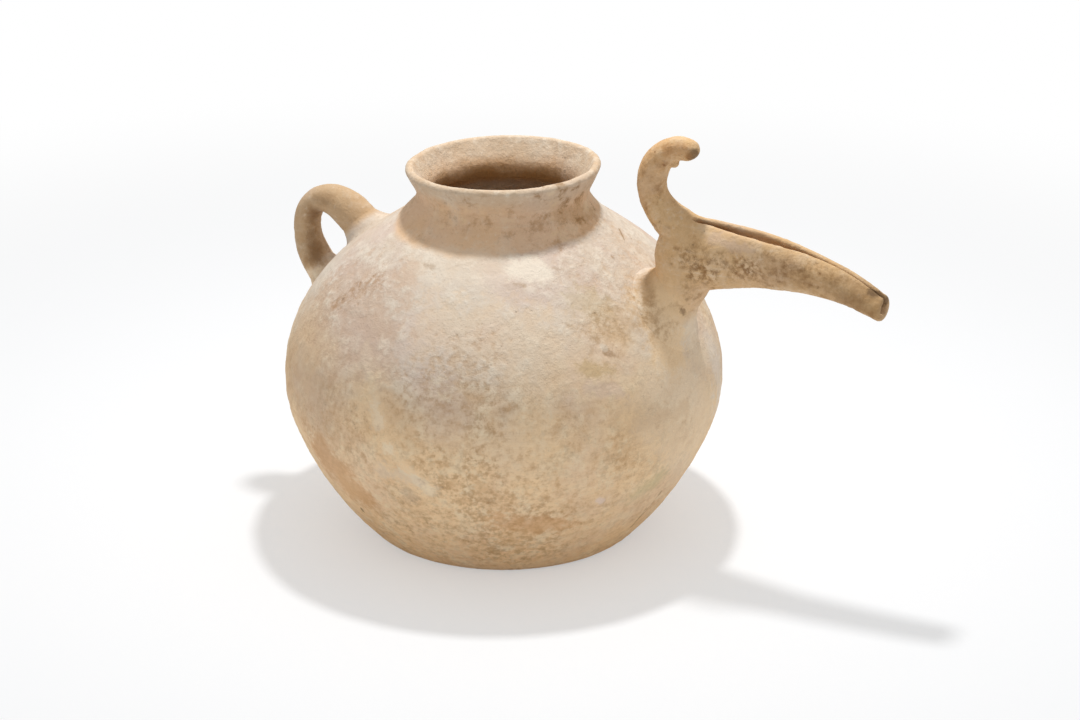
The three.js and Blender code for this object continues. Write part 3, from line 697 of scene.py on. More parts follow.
def ring(centre, up_angle, across, along_up):
    """Points in a plane that holds the Y axis: offsets across it, and along a heading."""
    in_plane = np.asarray(centre) + np.outer(along_up, heading(up_angle))
    return np.stack([in_plane[:, 0], across, in_plane[:, 1]], axis=1)


def oval(width, depth, steps=ROUND_STEPS):
    turn = np.linspace(0, math.tau, steps, endpoint=False)
    return width / 2 * np.cos(turn), depth / 2 * np.sin(turn)


def band_faces(bands, rows, count):
    """Faces between each of a number of rings and the next; the last row is followed by the first."""
    faces = []
    for i in range(bands):
        here = i * count
        there = (i + 1) % rows * count
        for j in range(count):
            k = (j + 1) % count
            faces.append((here + j, here + k, there + k, there + j))
    return faces


def loft(name, rings):
    """A closed solid through rings of equal count."""
    count = len(rings[0])
    faces = band_faces(len(rings) - 1, len(rings), count)
    last = (len(rings) - 1) * count
    faces.append(tuple(range(count))[::-1])
    faces.append(tuple(range(last, last + count)))
    piece = new_piece(name, np.vstack(rings), faces)
    face_outwards(piece.data)
    return piece


def face_outwards(mesh):
    shell = bmesh.new()
    shell.from_mesh(mesh)
    bmesh.ops.recalc_face_normals(shell, faces=shell.faces[:])
    shell.to_mesh(mesh)
    shell.free()


def cut_away(piece, tool):
    """Takes a closed tool's space out of a piece, and the tool out of the scene."""
    cut = piece.modifiers.new("cut", "BOOLEAN")
    cut.operation = "DIFFERENCE"
    cut.solver = "EXACT"
    cut.object = tool
    plain(piece)
    bpy.data.objects.remove(tool)


stain(LIME_PATCH, LIME, reach=0.0085, strength=0.75, ragged=0.9)
stain(LIME_HAZE, LIME, reach=0.016, strength=0.3)
stain(PINK_SHOULDER, "#caae98", reach=0.03, strength=0.55)
stain(TAN_SIDE, "#c8a684", reach=0.035, strength=0.35, ragged=0.6)
# Painted light: pale along the jar's right edge, brightening that side
stain(RIGHT_EDGE_LIGHT, "#ecdfce", reach=0.016, strength=0.6)
# Painted light: warm pale over the spout's shadow on the shoulder beside its foot
stain(LIGHT_BESIDE_SPOUT, "#ecd8ba", reach=0.012, strength=0.6, ragged=0.6)
stain(MIDDLE_FLECK, DIRT, reach=0.0018, strength=0.4, ragged=1.4, soft=1.0)
stain(UPPER_FLECK, DIRT, reach=0.0018, strength=0.35, ragged=1.4, soft=1.0)
stain(LOWER_FLECK, DIRT, reach=0.002, strength=0.4, ragged=1.4, soft=1.0)
stain(NECK_CRACK, DIRT, reach=0.0008, strength=0.7, ragged=0.6)
stain(SPECK, DIRT, reach=0.0014, strength=0.5, ragged=0.8)
stain(LEFT_FLECK, DIRT, reach=0.0022, strength=0.35, ragged=1.6, soft=1.0)
stain(ROUGH_PATCH, "#a98058", reach=0.008, strength=0.42, through=grains)
stain(OLIVE_PATCH, "#cabb9c", reach=0.01, strength=0.4)
stain(CHIP, "#8a6643", reach=0.0026, strength=0.5, ragged=1.4, soft=1.0)
stain(CHIP_RIM, LIME, reach=0.0022, strength=0.6, ragged=0.8)
stain(OCHRE_DAB, "#c7aa78", reach=0.0045, strength=0.5, ragged=1.2)
stain(PINK_DAB, "#e0c8b4", reach=0.005, strength=0.5)
shoulder = thrown("shoulder_wall", wall_profile(belly_seam, neck_seam), True)
drill_ends = [socket_seat + heading(SOCKET_ANGLE) * reach for reach in (-2 * WALL, 2 * WALL)]
hole = oval(2 * POUR_HOLE_RADIUS, 2 * POUR_HOLE_RADIUS)
drill = loft("drill", [ring(end, SOCKET_ANGLE + QUARTER_TURN, *hole) for end in drill_ends])
cut_away(shoulder, drill)
stands_for(shoulder, "shoulder")


# The neck: a short collar, drawn in and out again by the potter's fingers while the wheel turned.
# It leans a little with the mouth, which dried lower on the handle's side.

# Marks on the neck: the first and last pixel of each in the photograph
LIME_RUN = ((447, 197), (455, 222))
NECK_SEAMS = ((460, 215), (560, 228))
NECK_CRUMBS = ((450, 215), (560, 228))
NECK_CRUST = ((550, 197), (588, 207))
NECK_SHADE = ((556, 215), (592, 214))

lip_seam = along_at(LIP_SEAM_HEIGHT)
stain(LIME_RUN, LIME, reach=0.004, strength=0.3, ragged=1.6, soft=1.0)
stain(NECK_SEAMS, "#9a7040", reach=0.015, strength=0.4, ragged=0.6, through=seams)
stain(NECK_CRUMBS, "#efd2a6", reach=0.015, strength=0.4, ragged=0.6, through=crumbs)
stain(NECK_CRUST, "#8a6538", reach=0.0095, strength=0.62, ragged=0.9, through=seams)
stain(NECK_SHADE, "#b08a5c", reach=0.007, strength=0.32, ragged=0.9)
stain(NECK_CRUST, "#e4cba4", reach=0.0095, strength=0.55, ragged=0.9, through=crumbs)
neck = thrown("neck_wall", wall_profile(neck_seam, lip_seam), True)
stands_for(neck, "neck_collar")


# The lip: the flared edge of the mouth, thinned and rounded between two fingers, and rubbed pale
# since by use.
LIP_ROUND_STEPS = 12

lip_outer = outside(stations(lip_seam, outline_length, OUTER_STEP))
lip_inner = inside(stations(outline_length, lip_seam - SEAM_BEVEL, OUTER_STEP))
lip_middle = (lip_outer[-1] + lip_inner[0]) / 2
lip_arm = lip_outer[-1] - lip_middle
lip_turns = np.linspace(0, math.pi, LIP_ROUND_STEPS + 1)[1:-1]
lip_side = np.array([-lip_arm[1], lip_arm[0]])
lip_round = lip_middle + np.outer(np.cos(lip_turns), lip_arm) + np.outer(np.sin(lip_turns), lip_side)
lip = thrown("mouth_lip", np.vstack([lip_outer, lip_round, lip_inner]), True)
stands_for(lip, "rim_lip")


# The spout: a hollow elbow on the shoulder, an open beak rolled from a slab, and a crest that curls
# over the beak with a bead in its hollow. The three were luted and wiped into one skin, so they are
# made as one here and parted again where they were joined.
SOCKET_STEM = 0.011
SOCKET_DEPTH = 0.025
SOCKET_WIDTH = 0.026
SOCKET_WALL = 0.005
BEAK_SEAM_OUT = 0.0207
BEAK_SEAM_UP = 0.0095
BEAK_SEAM_TILT = 18
BEAK_LENGTH = 0.0822
BEAK_TIP_DROP = 0.0003
BEAK_ROOT_HEIGHT = 0.036
BEAK_TIP_HEIGHT = 0.012
BEAK_WIDTHS = (0.025, 0.018, 0.015)
BEAK_GAPS = (0.0035, 0.0085, 0.0008)
BEAK_WAISTS = (0.5, 0.7, 0.5)
BEAK_WALL = 0.0032
BEAK_MIDDLE = 0.35
BEAK_CLOSED_FROM = 0.75
BEAK_TIP_ROUND = 0.0025
BEAK_TIP_WALL = 0.0016
BEAK_TIP_TURNS = (30, 60, 90)
BEAK_RINGS = 90
KEEL_ROOT_BEND = (18, 0.024)
KEEL_TIP_BEND = (-25, 0.024)
LIPS_ROOT_BEND = (-9, 0.031)
LIPS_TIP_BEND = (-35, 0.031)
SLAB_BOTTOM_STEPS = 41
SLAB_SIDE_STEPS = 21
SLAB_EDGE_STEPS = 11
ELBOW_RINGS = 30
ELBOW_RUN_OUT = 0.001
CREST_FOOT_BACK = 0.005
CREST_FOOT_DROP = 0.0055
CREST_HEIGHT = 0.0281
CREST_OVERHANG = 0.0046
CREST_FOOT_BEND = (150, 0.031)
CREST_TIP_BEND = (-36, 0.0185)
CREST_TIP_TURN = 86
CREST_TIP_RINGS = 9
CREST_FOOT_THICKNESS = 0.018
CREST_FOOT_SINK = CREST_FOOT_THICKNESS / 4
CREST_THICKNESS = 0.0135
CREST_TIP_THICKNESS = 0.010
CREST_SWELL_TO = 0.4
CREST_TAPER_FROM = 0.5
CREST_RINGS = 80
BEAD_RADIUS = 0.0023
BEAD_PLACE = 0.74
BEAD_SINK = 0.001
BEAD_TURN = 1.5
BEAD_RINGS = 17
CREST_CUT_ANGLE = 120
ROOT_SINK = 0.0015
PROBE_REACH = 0.05
PROBE_HALVINGS = 40
COIL_UNEVENNESS = 0.0006
WIPE_SHARE = 0.5
SKIN_VOXEL = 0.0006
SKIN_ROUNDS = 5
FILLET_ROUNDS = 60
FILLET_REACH = 0.013
FILLET_CORE = 0.4
TIP_ROUNDS = 12
TIP_WEAR = 0.007
TIP_CORE = 0.001
CRUST_BROWN = "#7d5529"

# Marks on the spout: the first and last pixel of each in the photograph
SPOUT_FOOT_LIGHT = ((656, 302), (667, 345))
FLARE_RIM_SHADE = ((641, 271), (648, 296))
FOOT_CLOUD = ((612, 326), (650, 316))
FOOT_SPECKLE = ((600, 330), (650, 316))
PINK_LIP = ((712, 238), (748, 251))
ROOT_CRUST = ((690, 262), (742, 268))
KEEL_CRUST = ((742, 268), (812, 280))
ELBOW_CRUST = ((690, 292), (702, 276))
FOOT_GRAINS = ((650, 300), (662, 330))
BEAK_BROWN = ((770, 272), (868, 306))
BEAK_END = ((840, 290), (880, 308))
CREST_FLUSH = ((640, 195), (658, 152))
CREST_GRAIN = ((644, 205), (658, 152))
BEAK_GRAIN = ((760, 272), (868, 306))
FOOT_PIT = ((681, 311), (683, 313))
TIP_EDGE = ((872, 292), (885, 301))
CREST_END = ((694, 154), (697, 157))
CREST_CRACK = ((655, 152), (664, 165))
CREST_TOP = ((668, 150), (680, 150))

keel_start = socket_seat + np.array([BEAK_SEAM_OUT, BEAK_SEAM_UP])
lips_start = keel_start + heading(QUARTER_TURN + BEAK_SEAM_TILT) * BEAK_ROOT_HEIGHT
keel_end = keel_start + np.array([BEAK_LENGTH, -BEAK_TIP_DROP])
lips_end = keel_end + np.array([0, BEAK_TIP_HEIGHT])
keel = bend(keel_start, KEEL_ROOT_BEND, keel_end, KEEL_TIP_BEND, BEAK_RINGS)
beak_lips = bend(lips_start, LIPS_ROOT_BEND, lips_end, LIPS_TIP_BEND, BEAK_RINGS)


def depth_to_wall(points, axis):
    """How far along an axis from each point the outer face of the wall lies."""
    inner = np.full(len(points), -PROBE_REACH)
    outer = np.full(len(points), PROBE_REACH)
    for _ in range(PROBE_HALVINGS):
        middle = (inner + outer) / 2
        probe = points + np.outer(middle, axis)
        within = np.hypot(probe[:, 0], probe[:, 1]) < radius_at(probe[:, 2])
        inner = np.where(within, middle, inner)
        outer = np.where(within, outer, middle)
    return inner


def on_wall(seat, angle, across, along_up, climb):
    """The points of a stem's section, moved along the stem to a climb above the wall."""
    axis = np.array([heading(angle)[0], 0, heading(angle)[1]])
    points = ring(seat, angle + QUARTER_TURN, across, along_up)
    return points + np.outer(depth_to_wall(points, axis) + climb, axis)


def coil_rings(path, sections):
    """Oval sections square to a path."""
    runs = np.gradient(path, axis=0)
    angles = np.degrees(np.arctan2(runs[:, 1], runs[:, 0])) + QUARTER_TURN
    return [ring(path[i], angles[i], *oval(*sections[i])) for i in range(len(path))]


def elbow_rings(growth, run_out):
    """The elbow's sections from the end of its stem to past the beak's seam."""
    stem_end = socket_seat + heading(SOCKET_ANGLE) * SOCKET_STEM
    mouth = (keel_start + lips_start) / 2
    pull = np.linalg.norm(mouth - stem_end) / 3
    path = bend(stem_end, (SOCKET_ANGLE, pull), mouth, (BEAK_SEAM_TILT, pull), ELBOW_RINGS)
    turned = smooth(distances(path) / distances(path)[-1], 0, 1)
    widths = between(SOCKET_WIDTH, BEAK_WIDTHS[0], turned) + 2 * growth
    depths = between(SOCKET_DEPTH, BEAK_ROOT_HEIGHT, turned) + 2 * growth
    rings = coil_rings(path, np.stack([widths, depths], axis=1))
    past = mouth + heading(BEAK_SEAM_TILT) * run_out
    return rings + [ring(past, BEAK_SEAM_TILT + QUARTER_TURN, *oval(widths[-1], depths[-1]))]


def beak_size(share, sizes):
    """A size that runs from the root through the middle of the beak to its tip."""
    root, middle, tip = sizes
    if share < BEAK_MIDDLE:
        return between(root, middle, smooth(share, 0, BEAK_MIDDLE))
    return middle + (tip - middle) * (share - BEAK_MIDDLE) / (1 - BEAK_MIDDLE)


def slab_section(width, height, gap, waist, wall):
    """The rolled slab: a round bottom, sides that lean in over the channel, and rounded edges."""
    half = width / 2 - BEAK_WALL / 2
    lean = half - (gap + BEAK_WALL) / 2
    rise = height - BEAK_WALL / 2 - waist
    turns = np.linspace(math.pi, math.tau, SLAB_BOTTOM_STEPS)
    bottom = np.stack([half * np.cos(turns), waist + (waist - BEAK_WALL / 2) * np.sin(turns)], axis=1)
    climb = np.linspace(0, 1, SLAB_SIDE_STEPS)[1:]
    right = np.stack([half - lean * climb ** 2, waist + rise * climb], axis=1)
    left = (right * (-1, 1))[::-1]
    line = np.vstack([left, bottom, right])
    run = np.gradient(line, axis=0)
    across = np.stack([run[:, 1], -run[:, 0]], axis=1)
    across *= wall / 2 / np.linalg.norm(across, axis=1)[:, None]
    arcs = np.linspace(0, math.pi, SLAB_EDGE_STEPS)[1:-1]
    ends = []
    for i, side in ((-1, 1), (0, -1)):
        arm = across[i] * side
        ahead = np.array([-arm[1], arm[0]])
        ends.append(line[i] + np.outer(np.cos(arcs), arm) + np.outer(np.sin(arcs), ahead))
    return np.vstack([line + across, ends[0], (line - across)[::-1], ends[1]])


def beak_ring(i, wall, push):
    share = i / (BEAK_RINGS - 1)
    upright = beak_lips[i] - keel[i]
    height = np.linalg.norm(upright)
    opening = between(BEAK_GAPS[0], BEAK_GAPS[1], smooth(share, 0, BEAK_MIDDLE))
    gap = between(opening, BEAK_GAPS[2], smooth(share, BEAK_MIDDLE, BEAK_CLOSED_FROM))
    waist = height * beak_size(share, BEAK_WAISTS)
    section = slab_section(beak_size(share, BEAK_WIDTHS), height, gap, waist, wall)
    up_angle = math.degrees(math.atan2(upright[1], upright[0]))
    return ring(keel[i] + np.array([push, 0]), up_angle, section[:, 0], section[:, 1])


# Pale tan on the spout's foot: its own tan, lightened as painted light over the elbow's shadow
stain(SPOUT_FOOT_LIGHT, "#efd0a6", reach=0.017, strength=0.8, ragged=0.6)
# Painted shade: a darker line along the flare's upper edge, where it meets the shoulder
stain(FLARE_RIM_SHADE, "#bd9a70", reach=0.006, strength=0.75, ragged=0.5)
stain(FOOT_CLOUD, "#c9aa84", reach=0.017, strength=0.4, ragged=0.8, soft=1.0)
stain(FOOT_SPECKLE, "#a07a4c", reach=0.017, strength=0.26, ragged=0.8, soft=1.0, through=grains)
stain(PINK_LIP, "#d9bfa8", reach=0.0045, strength=0.5)
stain(ROOT_CRUST, CRUST_BROWN, reach=0.0115, strength=0.46, ragged=0.7, through=grains)
stain(KEEL_CRUST, CRUST_BROWN, reach=0.0066, strength=0.5, ragged=0.7, through=grains)
stain(ELBOW_CRUST, CRUST_BROWN, reach=0.009, strength=0.44, ragged=0.7, through=grains)
stain(ROOT_CRUST, "#a97f50", reach=0.011, strength=0.45, through=seams)
stain(FOOT_GRAINS, "#a5805a", reach=0.012, strength=0.25, ragged=0.8, through=grains)
stain(BEAK_BROWN, "#a9845c", reach=0.011, strength=0.42, ragged=0.6)
stain(BEAK_END, "#94703f", reach=0.012, strength=0.4, ragged=0.6)
stain(CREST_FLUSH, "#c29060", reach=0.012, strength=0.35, ragged=0.6)
stain(CREST_GRAIN, "#8a6034", reach=0.02, strength=0.42, ragged=0.6, through=seams)
stain(CREST_GRAIN, "#ecc79a", reach=0.02, strength=0.38, ragged=0.6, through=crumbs)
stain(BEAK_GRAIN, CRUST_BROWN, reach=0.012, strength=0.38, ragged=0.6, through=seams)
stain(BEAK_GRAIN, "#e0bc8c", reach=0.012, strength=0.32, ragged=0.6, through=crumbs)
stain(FOOT_PIT, PIT_BROWN, reach=0.0016, strength=0.6, ragged=1.2, soft=1.0)
stain(TIP_EDGE, "#4a3420", reach=0.0028, strength=0.6, ragged=0.8)
stain(CREST_END, "#4a3220", reach=0.0026, strength=0.6, ragged=1.4, soft=1.0)
stain(CREST_CRACK, "#8a5a30", reach=0.0008, strength=0.6, ragged=0.8)
stain(CREST_TOP, "#bf8a56", reach=0.005, strength=0.45, ragged=0.8)
stem_root = on_wall(socket_seat, SOCKET_ANGLE, *oval(SOCKET_WIDTH, SOCKET_DEPTH), -ROOT_SINK)
elbow = loft("elbow", [stem_root] + elbow_rings(0, ELBOW_RUN_OUT))
beak_rings = [beak_ring(i, BEAK_WALL, 0) for i in range(BEAK_RINGS)]
for turn in np.radians(BEAK_TIP_TURNS):
    end_wall = between(BEAK_WALL, BEAK_TIP_WALL, 1 - math.cos(turn))
    beak_rings.append(beak_ring(BEAK_RINGS - 1, end_wall, BEAK_TIP_ROUND * math.sin(turn)))
beak = loft("beak", beak_rings)

crest_foot = lips_start - np.array([CREST_FOOT_BACK, CREST_FOOT_DROP])
crest_tip = lips_start + np.array([CREST_OVERHANG, CREST_HEIGHT])
crest_path = np.vstack([
    crest_foot - heading(CREST_FOOT_BEND[0]) * CREST_FOOT_SINK,
    bend(crest_foot, CREST_FOOT_BEND, crest_tip, CREST_TIP_BEND),
])
crest_length = distances(crest_path)[-1]
crest_round_from = 1 - CREST_TIP_THICKNESS / 2 / crest_length
tip_turns = np.radians(np.linspace(0, CREST_TIP_TURN, CREST_TIP_RINGS)[1:])
crest_shares = np.concatenate([
    np.linspace(0, crest_round_from, CREST_RINGS),
    between(crest_round_from, 1, np.sin(tip_turns)),
])
crest_points = points_along(crest_path, crest_shares * crest_length)
crest_thick = between(CREST_FOOT_THICKNESS, CREST_THICKNESS, smooth(crest_shares, 0, CREST_SWELL_TO))
crest_thick = between(crest_thick, CREST_TIP_THICKNESS, smooth(crest_shares, CREST_TAPER_FROM, 1))
crest_thick *= np.sqrt(1 - np.clip((crest_shares - crest_round_from) / (1 - crest_round_from), 0, 1) ** 2)
crest = loft("crest", coil_rings(crest_points, np.stack([crest_thick, crest_thick], axis=1)))

bead_at = int(np.argmin(abs(crest_shares - BEAD_PLACE)))
bead_run = crest_points[bead_at + 1] - crest_points[bead_at - 1]
bead_under = math.degrees(math.atan2(bead_run[1], bead_run[0])) - QUARTER_TURN
bead_centre = crest_points[bead_at] + heading(bead_under) * (CREST_THICKNESS / 2 - BEAD_SINK)
bead_rings = []
for turn in np.linspace(-BEAD_TURN, BEAD_TURN, BEAD_RINGS):
    bead_level = bead_centre + np.array([0, BEAD_RADIUS * math.sin(turn)])
    bead_width = 2 * BEAD_RADIUS * math.cos(turn)
    bead_rings.append(ring(bead_level, 0, *oval(bead_width, bead_width)))
bead = loft("bead", bead_rings)


def mesh_points(mesh):
    points = np.empty(len(mesh.vertices) * 3)
    mesh.vertices.foreach_get("co", points)
    return points.reshape(-1, 3)


def wiped(mesh, rounds, share):
    """Draws each point towards the middle of its neighbours, as a wet finger does."""
    ends = np.empty(len(mesh.edges) * 2, dtype=np.int64)
    mesh.edges.foreach_get("vertices", ends)
    here = np.concatenate([ends[0::2], ends[1::2]])
    there = np.concatenate([ends[1::2], ends[0::2]])
    points = mesh_points(mesh)
    neighbours = np.bincount(here, minlength=len(points))
    for _ in range(rounds):
        sums = [np.bincount(here, weights=points[there, i], minlength=len(points)) for i in range(3)]
        points += share[:, None] * (np.stack(sums, axis=1) / neighbours[:, None] - points)
    mesh.vertices.foreach_set("co", points.ravel())


def joined(name, pieces):
    """One piece from the meshes of several, which leave the scene."""
    shell = bmesh.new()
    for piece in pieces:
        shell.from_mesh(piece.data)
        bpy.data.objects.remove(piece)
    mesh = bpy.data.meshes.new(name)
    shell.to_mesh(mesh)
    shell.free()
    return placed(name, mesh)


spout = joined("spout", [elbow, beak, crest, bead])
remesh = spout.modifiers.new("one skin", "REMESH")
remesh.mode = "VOXEL"
remesh.voxel_size = SKIN_VOXEL
plain(spout)
skin = mesh_points(spout.data)
wiped(spout.data, SKIN_ROUNDS, np.full(len(skin), WIPE_SHARE))
from_joint = np.linalg.norm(skin[:, [0, 2]] - lips_start, axis=1)
at_joint = 1 - smooth(from_joint, FILLET_REACH * FILLET_CORE, FILLET_REACH)
wiped(spout.data, FILLET_ROUNDS, WIPE_SHARE * at_joint)
from_tip = keel_end[0] + BEAK_TIP_ROUND - skin[:, 0]
wiped(spout.data, TIP_ROUNDS, WIPE_SHARE * (1 - smooth(from_tip, TIP_CORE, TIP_WEAR)))
weathered_piece(spout, unevenness=COIL_UNEVENNESS)
bore_foot = socket_seat - heading(SOCKET_ANGLE) * SOCKET_DEPTH
bore_oval = oval(SOCKET_WIDTH - 2 * SOCKET_WALL, SOCKET_DEPTH - 2 * SOCKET_WALL)
bore_start = ring(bore_foot, SOCKET_ANGLE + QUARTER_TURN, *bore_oval)
bore = loft("bore", [bore_start] + elbow_rings(-SOCKET_WALL, SOCKET_WALL))
cut_away(spout, bore)


def part_of(whole, name, point, angle, ahead):
    """The part of a piece ahead of a plane, or behind it, closed along the cut."""
    shell = bmesh.new()
    shell.from_mesh(whole.data)
    facing = (heading(angle)[0], 0, heading(angle)[1])
    everything = shell.verts[:] + shell.edges[:] + shell.faces[:]
    cut = bmesh.ops.bisect_plane(
        shell, geom=everything, plane_co=(point[0], 0, point[1]), plane_no=facing,
        clear_inner=ahead, clear_outer=not ahead,
    )
    edges = [edge for edge in cut["geom_cut"] if isinstance(edge, bmesh.types.BMEdge)]
    bmesh.ops.triangle_fill(shell, edges=edges, normal=facing)
    bmesh.ops.recalc_face_normals(shell, faces=shell.faces[:])
    for face in shell.faces:
        face.smooth = True
    for edge in shell.edges:
        edge.smooth = len(edge.link_faces) == 2 and edge.calc_face_angle() < SHARP_ANGLE
    mesh = bpy.data.meshes.new(name)
    shell.to_mesh(mesh)
    shell.free()
    mesh.materials.append(clay)
    return placed(name, mesh)


crest_roll = part_of(spout, "crest_roll", lips_start, CREST_CUT_ANGLE, True)
spout_root = part_of(spout, "spout_root", lips_start, CREST_CUT_ANGLE, False)
open_beak = part_of(spout_root, "open_beak", keel_start, BEAK_SEAM_TILT, True)
socket = part_of(spout_root, "socket_elbow", keel_start, BEAK_SEAM_TILT, False)
bpy.data.objects.remove(spout)
bpy.data.objects.remove(spout_root)
stands_for(socket, "spout_socket")
stands_for(open_beak, "beak_trough")
stands_for(crest_roll, "crest_hook")


# The handle: a roll of clay bent into a loop for one finger, pressed on the shoulder opposite the
# spout, thicker at its two roots than in its middle.
HANDLE_UPPER_HEIGHT = 0.1343
HANDLE_LOWER_HEIGHT = 0.1055
HANDLE_UPPER_ANGLE = 141.5
HANDLE_LOWER_ANGLE = -57
HANDLE_UPPER_PULL = 0.027
HANDLE_LOWER_PULL = 0.0255
HANDLE_STEM = 0.010
HANDLE_UPPER_THICKNESS = 0.0185
HANDLE_LOWER_THICKNESS = 0.015
HANDLE_ROOT_WIDTH = 0.017
HANDLE_THICKNESS = 0.012
HANDLE_WIDTH = 0.015
HANDLE_UPPER_SHARE = 0.42
HANDLE_LOWER_SHARE = 0.3
HANDLE_RINGS = 120
HANDLE_ROOT_RINGS = 10
HALF_TURN = 180

# Marks on the handle: the first and last pixel of each in the photograph
LIMB_INSIDE_SHADE = ((315, 212), (315, 258))
HANDLE_TOP = ((315, 197), (328, 199))

upper_seat = np.array([-radius_at(HANDLE_UPPER_HEIGHT), HANDLE_UPPER_HEIGHT])
lower_seat = np.array([-radius_at(HANDLE_LOWER_HEIGHT), HANDLE_LOWER_HEIGHT])
lower_axis = HANDLE_LOWER_ANGLE + HALF_TURN
loop = bend(
    upper_seat + heading(HANDLE_UPPER_ANGLE) * HANDLE_STEM, (HANDLE_UPPER_ANGLE, HANDLE_UPPER_PULL),
    lower_seat + heading(lower_axis) * HANDLE_STEM, (HANDLE_LOWER_ANGLE, HANDLE_LOWER_PULL),
    HANDLE_RINGS,
)
loop_share = distances(loop) / distances(loop)[-1]
upper_swell = 1 - smooth(loop_share, 0, HANDLE_UPPER_SHARE)
lower_swell = 1 - smooth(1 - loop_share, 0, HANDLE_LOWER_SHARE)
loop_widths = between(HANDLE_WIDTH, HANDLE_ROOT_WIDTH, np.maximum(upper_swell, lower_swell))
loop_depths = between(HANDLE_THICKNESS, HANDLE_UPPER_THICKNESS, upper_swell)
loop_depths += (HANDLE_LOWER_THICKNESS - HANDLE_THICKNESS) * lower_swell
loop_rings = coil_rings(loop, np.stack([loop_widths, loop_depths], axis=1))
upper_oval = oval(HANDLE_ROOT_WIDTH, HANDLE_UPPER_THICKNESS)
lower_oval = oval(HANDLE_ROOT_WIDTH, HANDLE_LOWER_THICKNESS)
upper_root = on_wall(upper_seat, HANDLE_UPPER_ANGLE, *upper_oval, -ROOT_SINK)
lower_root = on_wall(lower_seat, lower_axis, lower_oval[0], -lower_oval[1], -ROOT_SINK)
root_shares = np.linspace(0, 1, HANDLE_ROOT_RINGS)[1:]
handle_rings = [upper_root]
handle_rings += [between(upper_root, loop_rings[0], share) for share in root_shares[:-1]]
handle_rings += loop_rings
handle_rings += [between(loop_rings[-1], lower_root, share) for share in root_shares]
# Dark brown on the loop's inner face: partly the clay's brown, partly painted shade facing the jar
stain(LIMB_INSIDE_SHADE, "#75522f", reach=0.007, strength=0.65, ragged=0.3, soft=1.0)
stain(HANDLE_TOP, "#8f6c47", reach=0.0034, strength=0.4, ragged=1.2, soft=1.0)
handle = loft("finger_loop", handle_rings)
weathered_piece(handle, unevenness=COIL_UNEVENNESS)
stands_for(handle, "loop_handle")


# The luting: coils of soft clay pressed into the corners round the roots of the spout and the handle,
# and wiped out thin over stem and wall, so that only a soft flare is left.
SPOUT_LUTING_REACH = 0.0085
SPOUT_LUTING_RISE = 0.0125
SPOUT_LUTING_PAD = 0.0012
SPOUT_LUTING_UPHILL = -0.25
HANDLE_LUTING_REACH = 0.005
HANDLE_LUTING_RISE = 0.007
LUTING_SINK = 0.0008
LUTING_FEATHER = 0.0001
LUTING_STEPS = 128
LUTING_ROWS = 24


def luting(name, seat, angle, width, depth, reach, rise, pad, uphill):
    """A coil wiped into the corner between the wall and an oval stem."""
    shares = np.sin(np.linspace(0, math.pi / 2, LUTING_ROWS))
    corner = [(-LUTING_SINK, -LUTING_SINK), (-LUTING_SINK, rise)]
    for share in shares:
        climb = pad * math.sqrt(1 - share ** 4) + (rise - pad) * (1 - share) ** 2
        corner.append((reach * share, climb - LUTING_FEATHER))
    corner.append((reach, -LUTING_SINK))
    across, along_up = oval(width, depth, LUTING_STEPS)
    away = np.stack([across / width ** 2, along_up / depth ** 2])
    away *= (1 + uphill * along_up / (depth / 2)) / np.linalg.norm(away, axis=0)
    rows = [on_wall(seat, angle, across + away[0] * out, along_up + away[1] * out, up) for out, up in corner]
    piece = new_piece(name, np.vstack(rows), band_faces(len(rows), len(rows), LUTING_STEPS))
    face_outwards(piece.data)
    weathered_piece(piece, ridge=WHEEL_RIDGE, along=0.0)
    return piece


spout_luting = luting(
    "spout_flare", socket_seat, SOCKET_ANGLE, SOCKET_WIDTH, SOCKET_DEPTH,
    SPOUT_LUTING_REACH, SPOUT_LUTING_RISE, SPOUT_LUTING_PAD, SPOUT_LUTING_UPHILL,
)
stands_for(spout_luting, "spout_luting")
upper_luting = luting(
    "handle_upper_flare", upper_seat, HANDLE_UPPER_ANGLE, HANDLE_ROOT_WIDTH, HANDLE_UPPER_THICKNESS,
    HANDLE_LUTING_REACH, HANDLE_LUTING_RISE, 0, 0,
)
stands_for(upper_luting, "handle_upper_luting")
lower_luting = luting(
    "handle_lower_flare", lower_seat, lower_axis, HANDLE_ROOT_WIDTH, HANDLE_LOWER_THICKNESS,
    HANDLE_LUTING_REACH, HANDLE_LUTING_RISE, 0, 0,
)
stands_for(lower_luting, "handle_lower_luting")


# The studio: a white floor that keeps the jar's shadow, an even white sky, and one small lamp
# overhead, a little beyond the jar.
FLOOR_HALF = 4.0
FLOOR_WHITE = (0.965, 0.975, 0.99, 1.0)
PURE_WHITE = (1, 1, 1, 1)
RAY_KINDS = ("Camera", "Glossy", "Transmission")
FLOOR_GLOW = 0.42
GLOW_FROM = 0.30
GLOW_TO = 0.75
SKY_LIGHT = 0.56
LAMP_PLACE = Vector((-0.020, 0.106, 0.75))
LAMP_WIDTH = 0.06
LAMP_POWER = 3.2

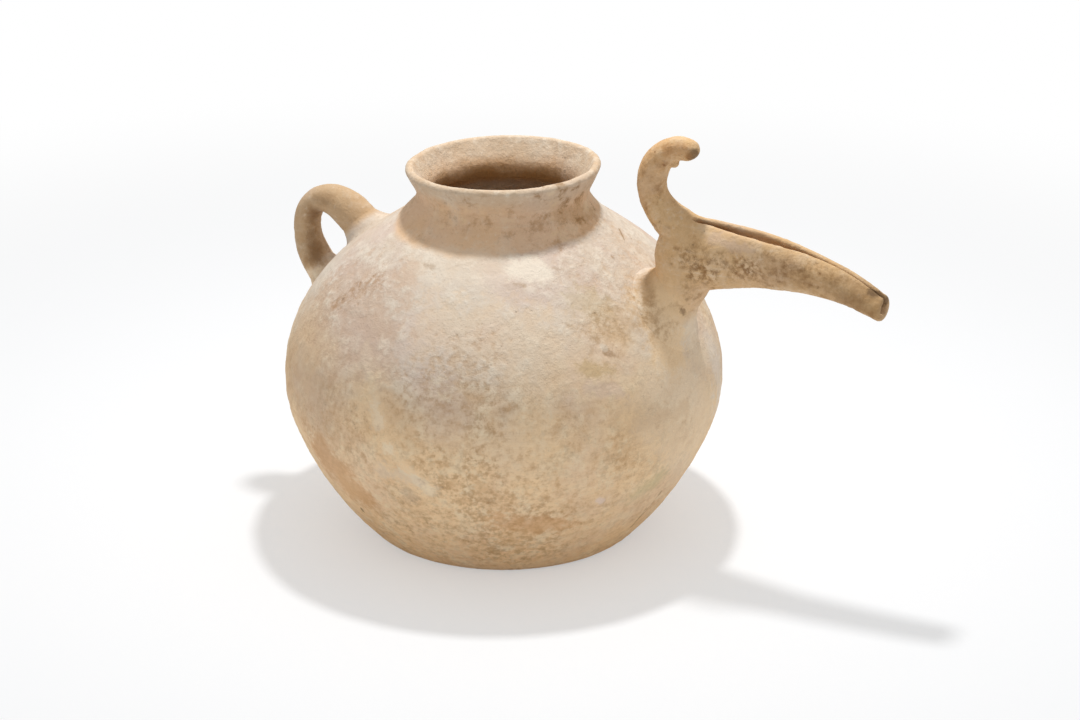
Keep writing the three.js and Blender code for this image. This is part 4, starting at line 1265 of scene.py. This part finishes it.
floor_corners = [(x * FLOOR_HALF, y * FLOOR_HALF, 0) for x, y in ((-1, -1), (1, -1), (1, 1), (-1, 1))]
floor = new_piece("floor", floor_corners, [(0, 1, 2, 3)])
white = bpy.data.materials.new("white_floor")
white.use_nodes = True
white_shader = white.node_tree.nodes["Principled BSDF"]
white_shader.inputs["Base Color"].default_value = FLOOR_WHITE
white_shader.inputs["Roughness"].default_value = 1.0
white_shader.inputs["Specular IOR Level"].default_value = 0.0


def seen_directly(tree):
    """One where the camera sees a surface, itself or through mirror or glass, and nothing elsewhere."""
    rays = tree.nodes.new("ShaderNodeLightPath").outputs
    seen, mirrored, through = [Wire(tree, rays[f"Is {kind} Ray"]) for kind in RAY_KINDS]
    return seen + mirrored + through


floor_seen = seen_directly(white.node_tree)
glow = floor_seen.node("ShaderNodeEmission", {}, {"Color": PURE_WHITE, "Strength": 1.0})
plain_white = Wire(white.node_tree, white_shader.outputs["BSDF"])
floor_place = Wire(white.node_tree, white.node_tree.nodes.new("ShaderNodeTexCoord").outputs["Object"])
glowing = between(FLOOR_GLOW, 1, step(floor_place.length(), GLOW_FROM, GLOW_TO))
lit = floor_seen.node("ShaderNodeMixShader", {}, {0: floor_seen * glowing, 1: plain_white, 2: glow})
white.node_tree.links.new(lit.socket, white.node_tree.nodes["Material Output"].inputs["Surface"])
floor.data.materials.append(white)

sky = bpy.data.worlds.new("sky")
sky.use_nodes = True
sky_strength = between(SKY_LIGHT, 1, seen_directly(sky.node_tree))
sky_shader = sky.node_tree.nodes["Background"]
sky_shader.inputs["Color"].default_value = PURE_WHITE
sky.node_tree.links.new(sky_strength.socket, sky_shader.inputs["Strength"])
bpy.context.scene.world = sky

lamp_data = bpy.data.lights.new("lamp", "AREA")
lamp_data.shape = "DISK"
lamp_data.size = LAMP_WIDTH
lamp_data.energy = LAMP_POWER
lamp = bpy.data.objects.new("lamp", lamp_data)
lamp.location = LAMP_PLACE
lamp.rotation_mode = "QUATERNION"
lamp.rotation_quaternion = (JAR_MIDDLE - LAMP_PLACE).to_track_quat("-Z", "Y")
bpy.context.collection.objects.link(lamp)

bpy.context.scene.view_settings.view_transform = "Standard"
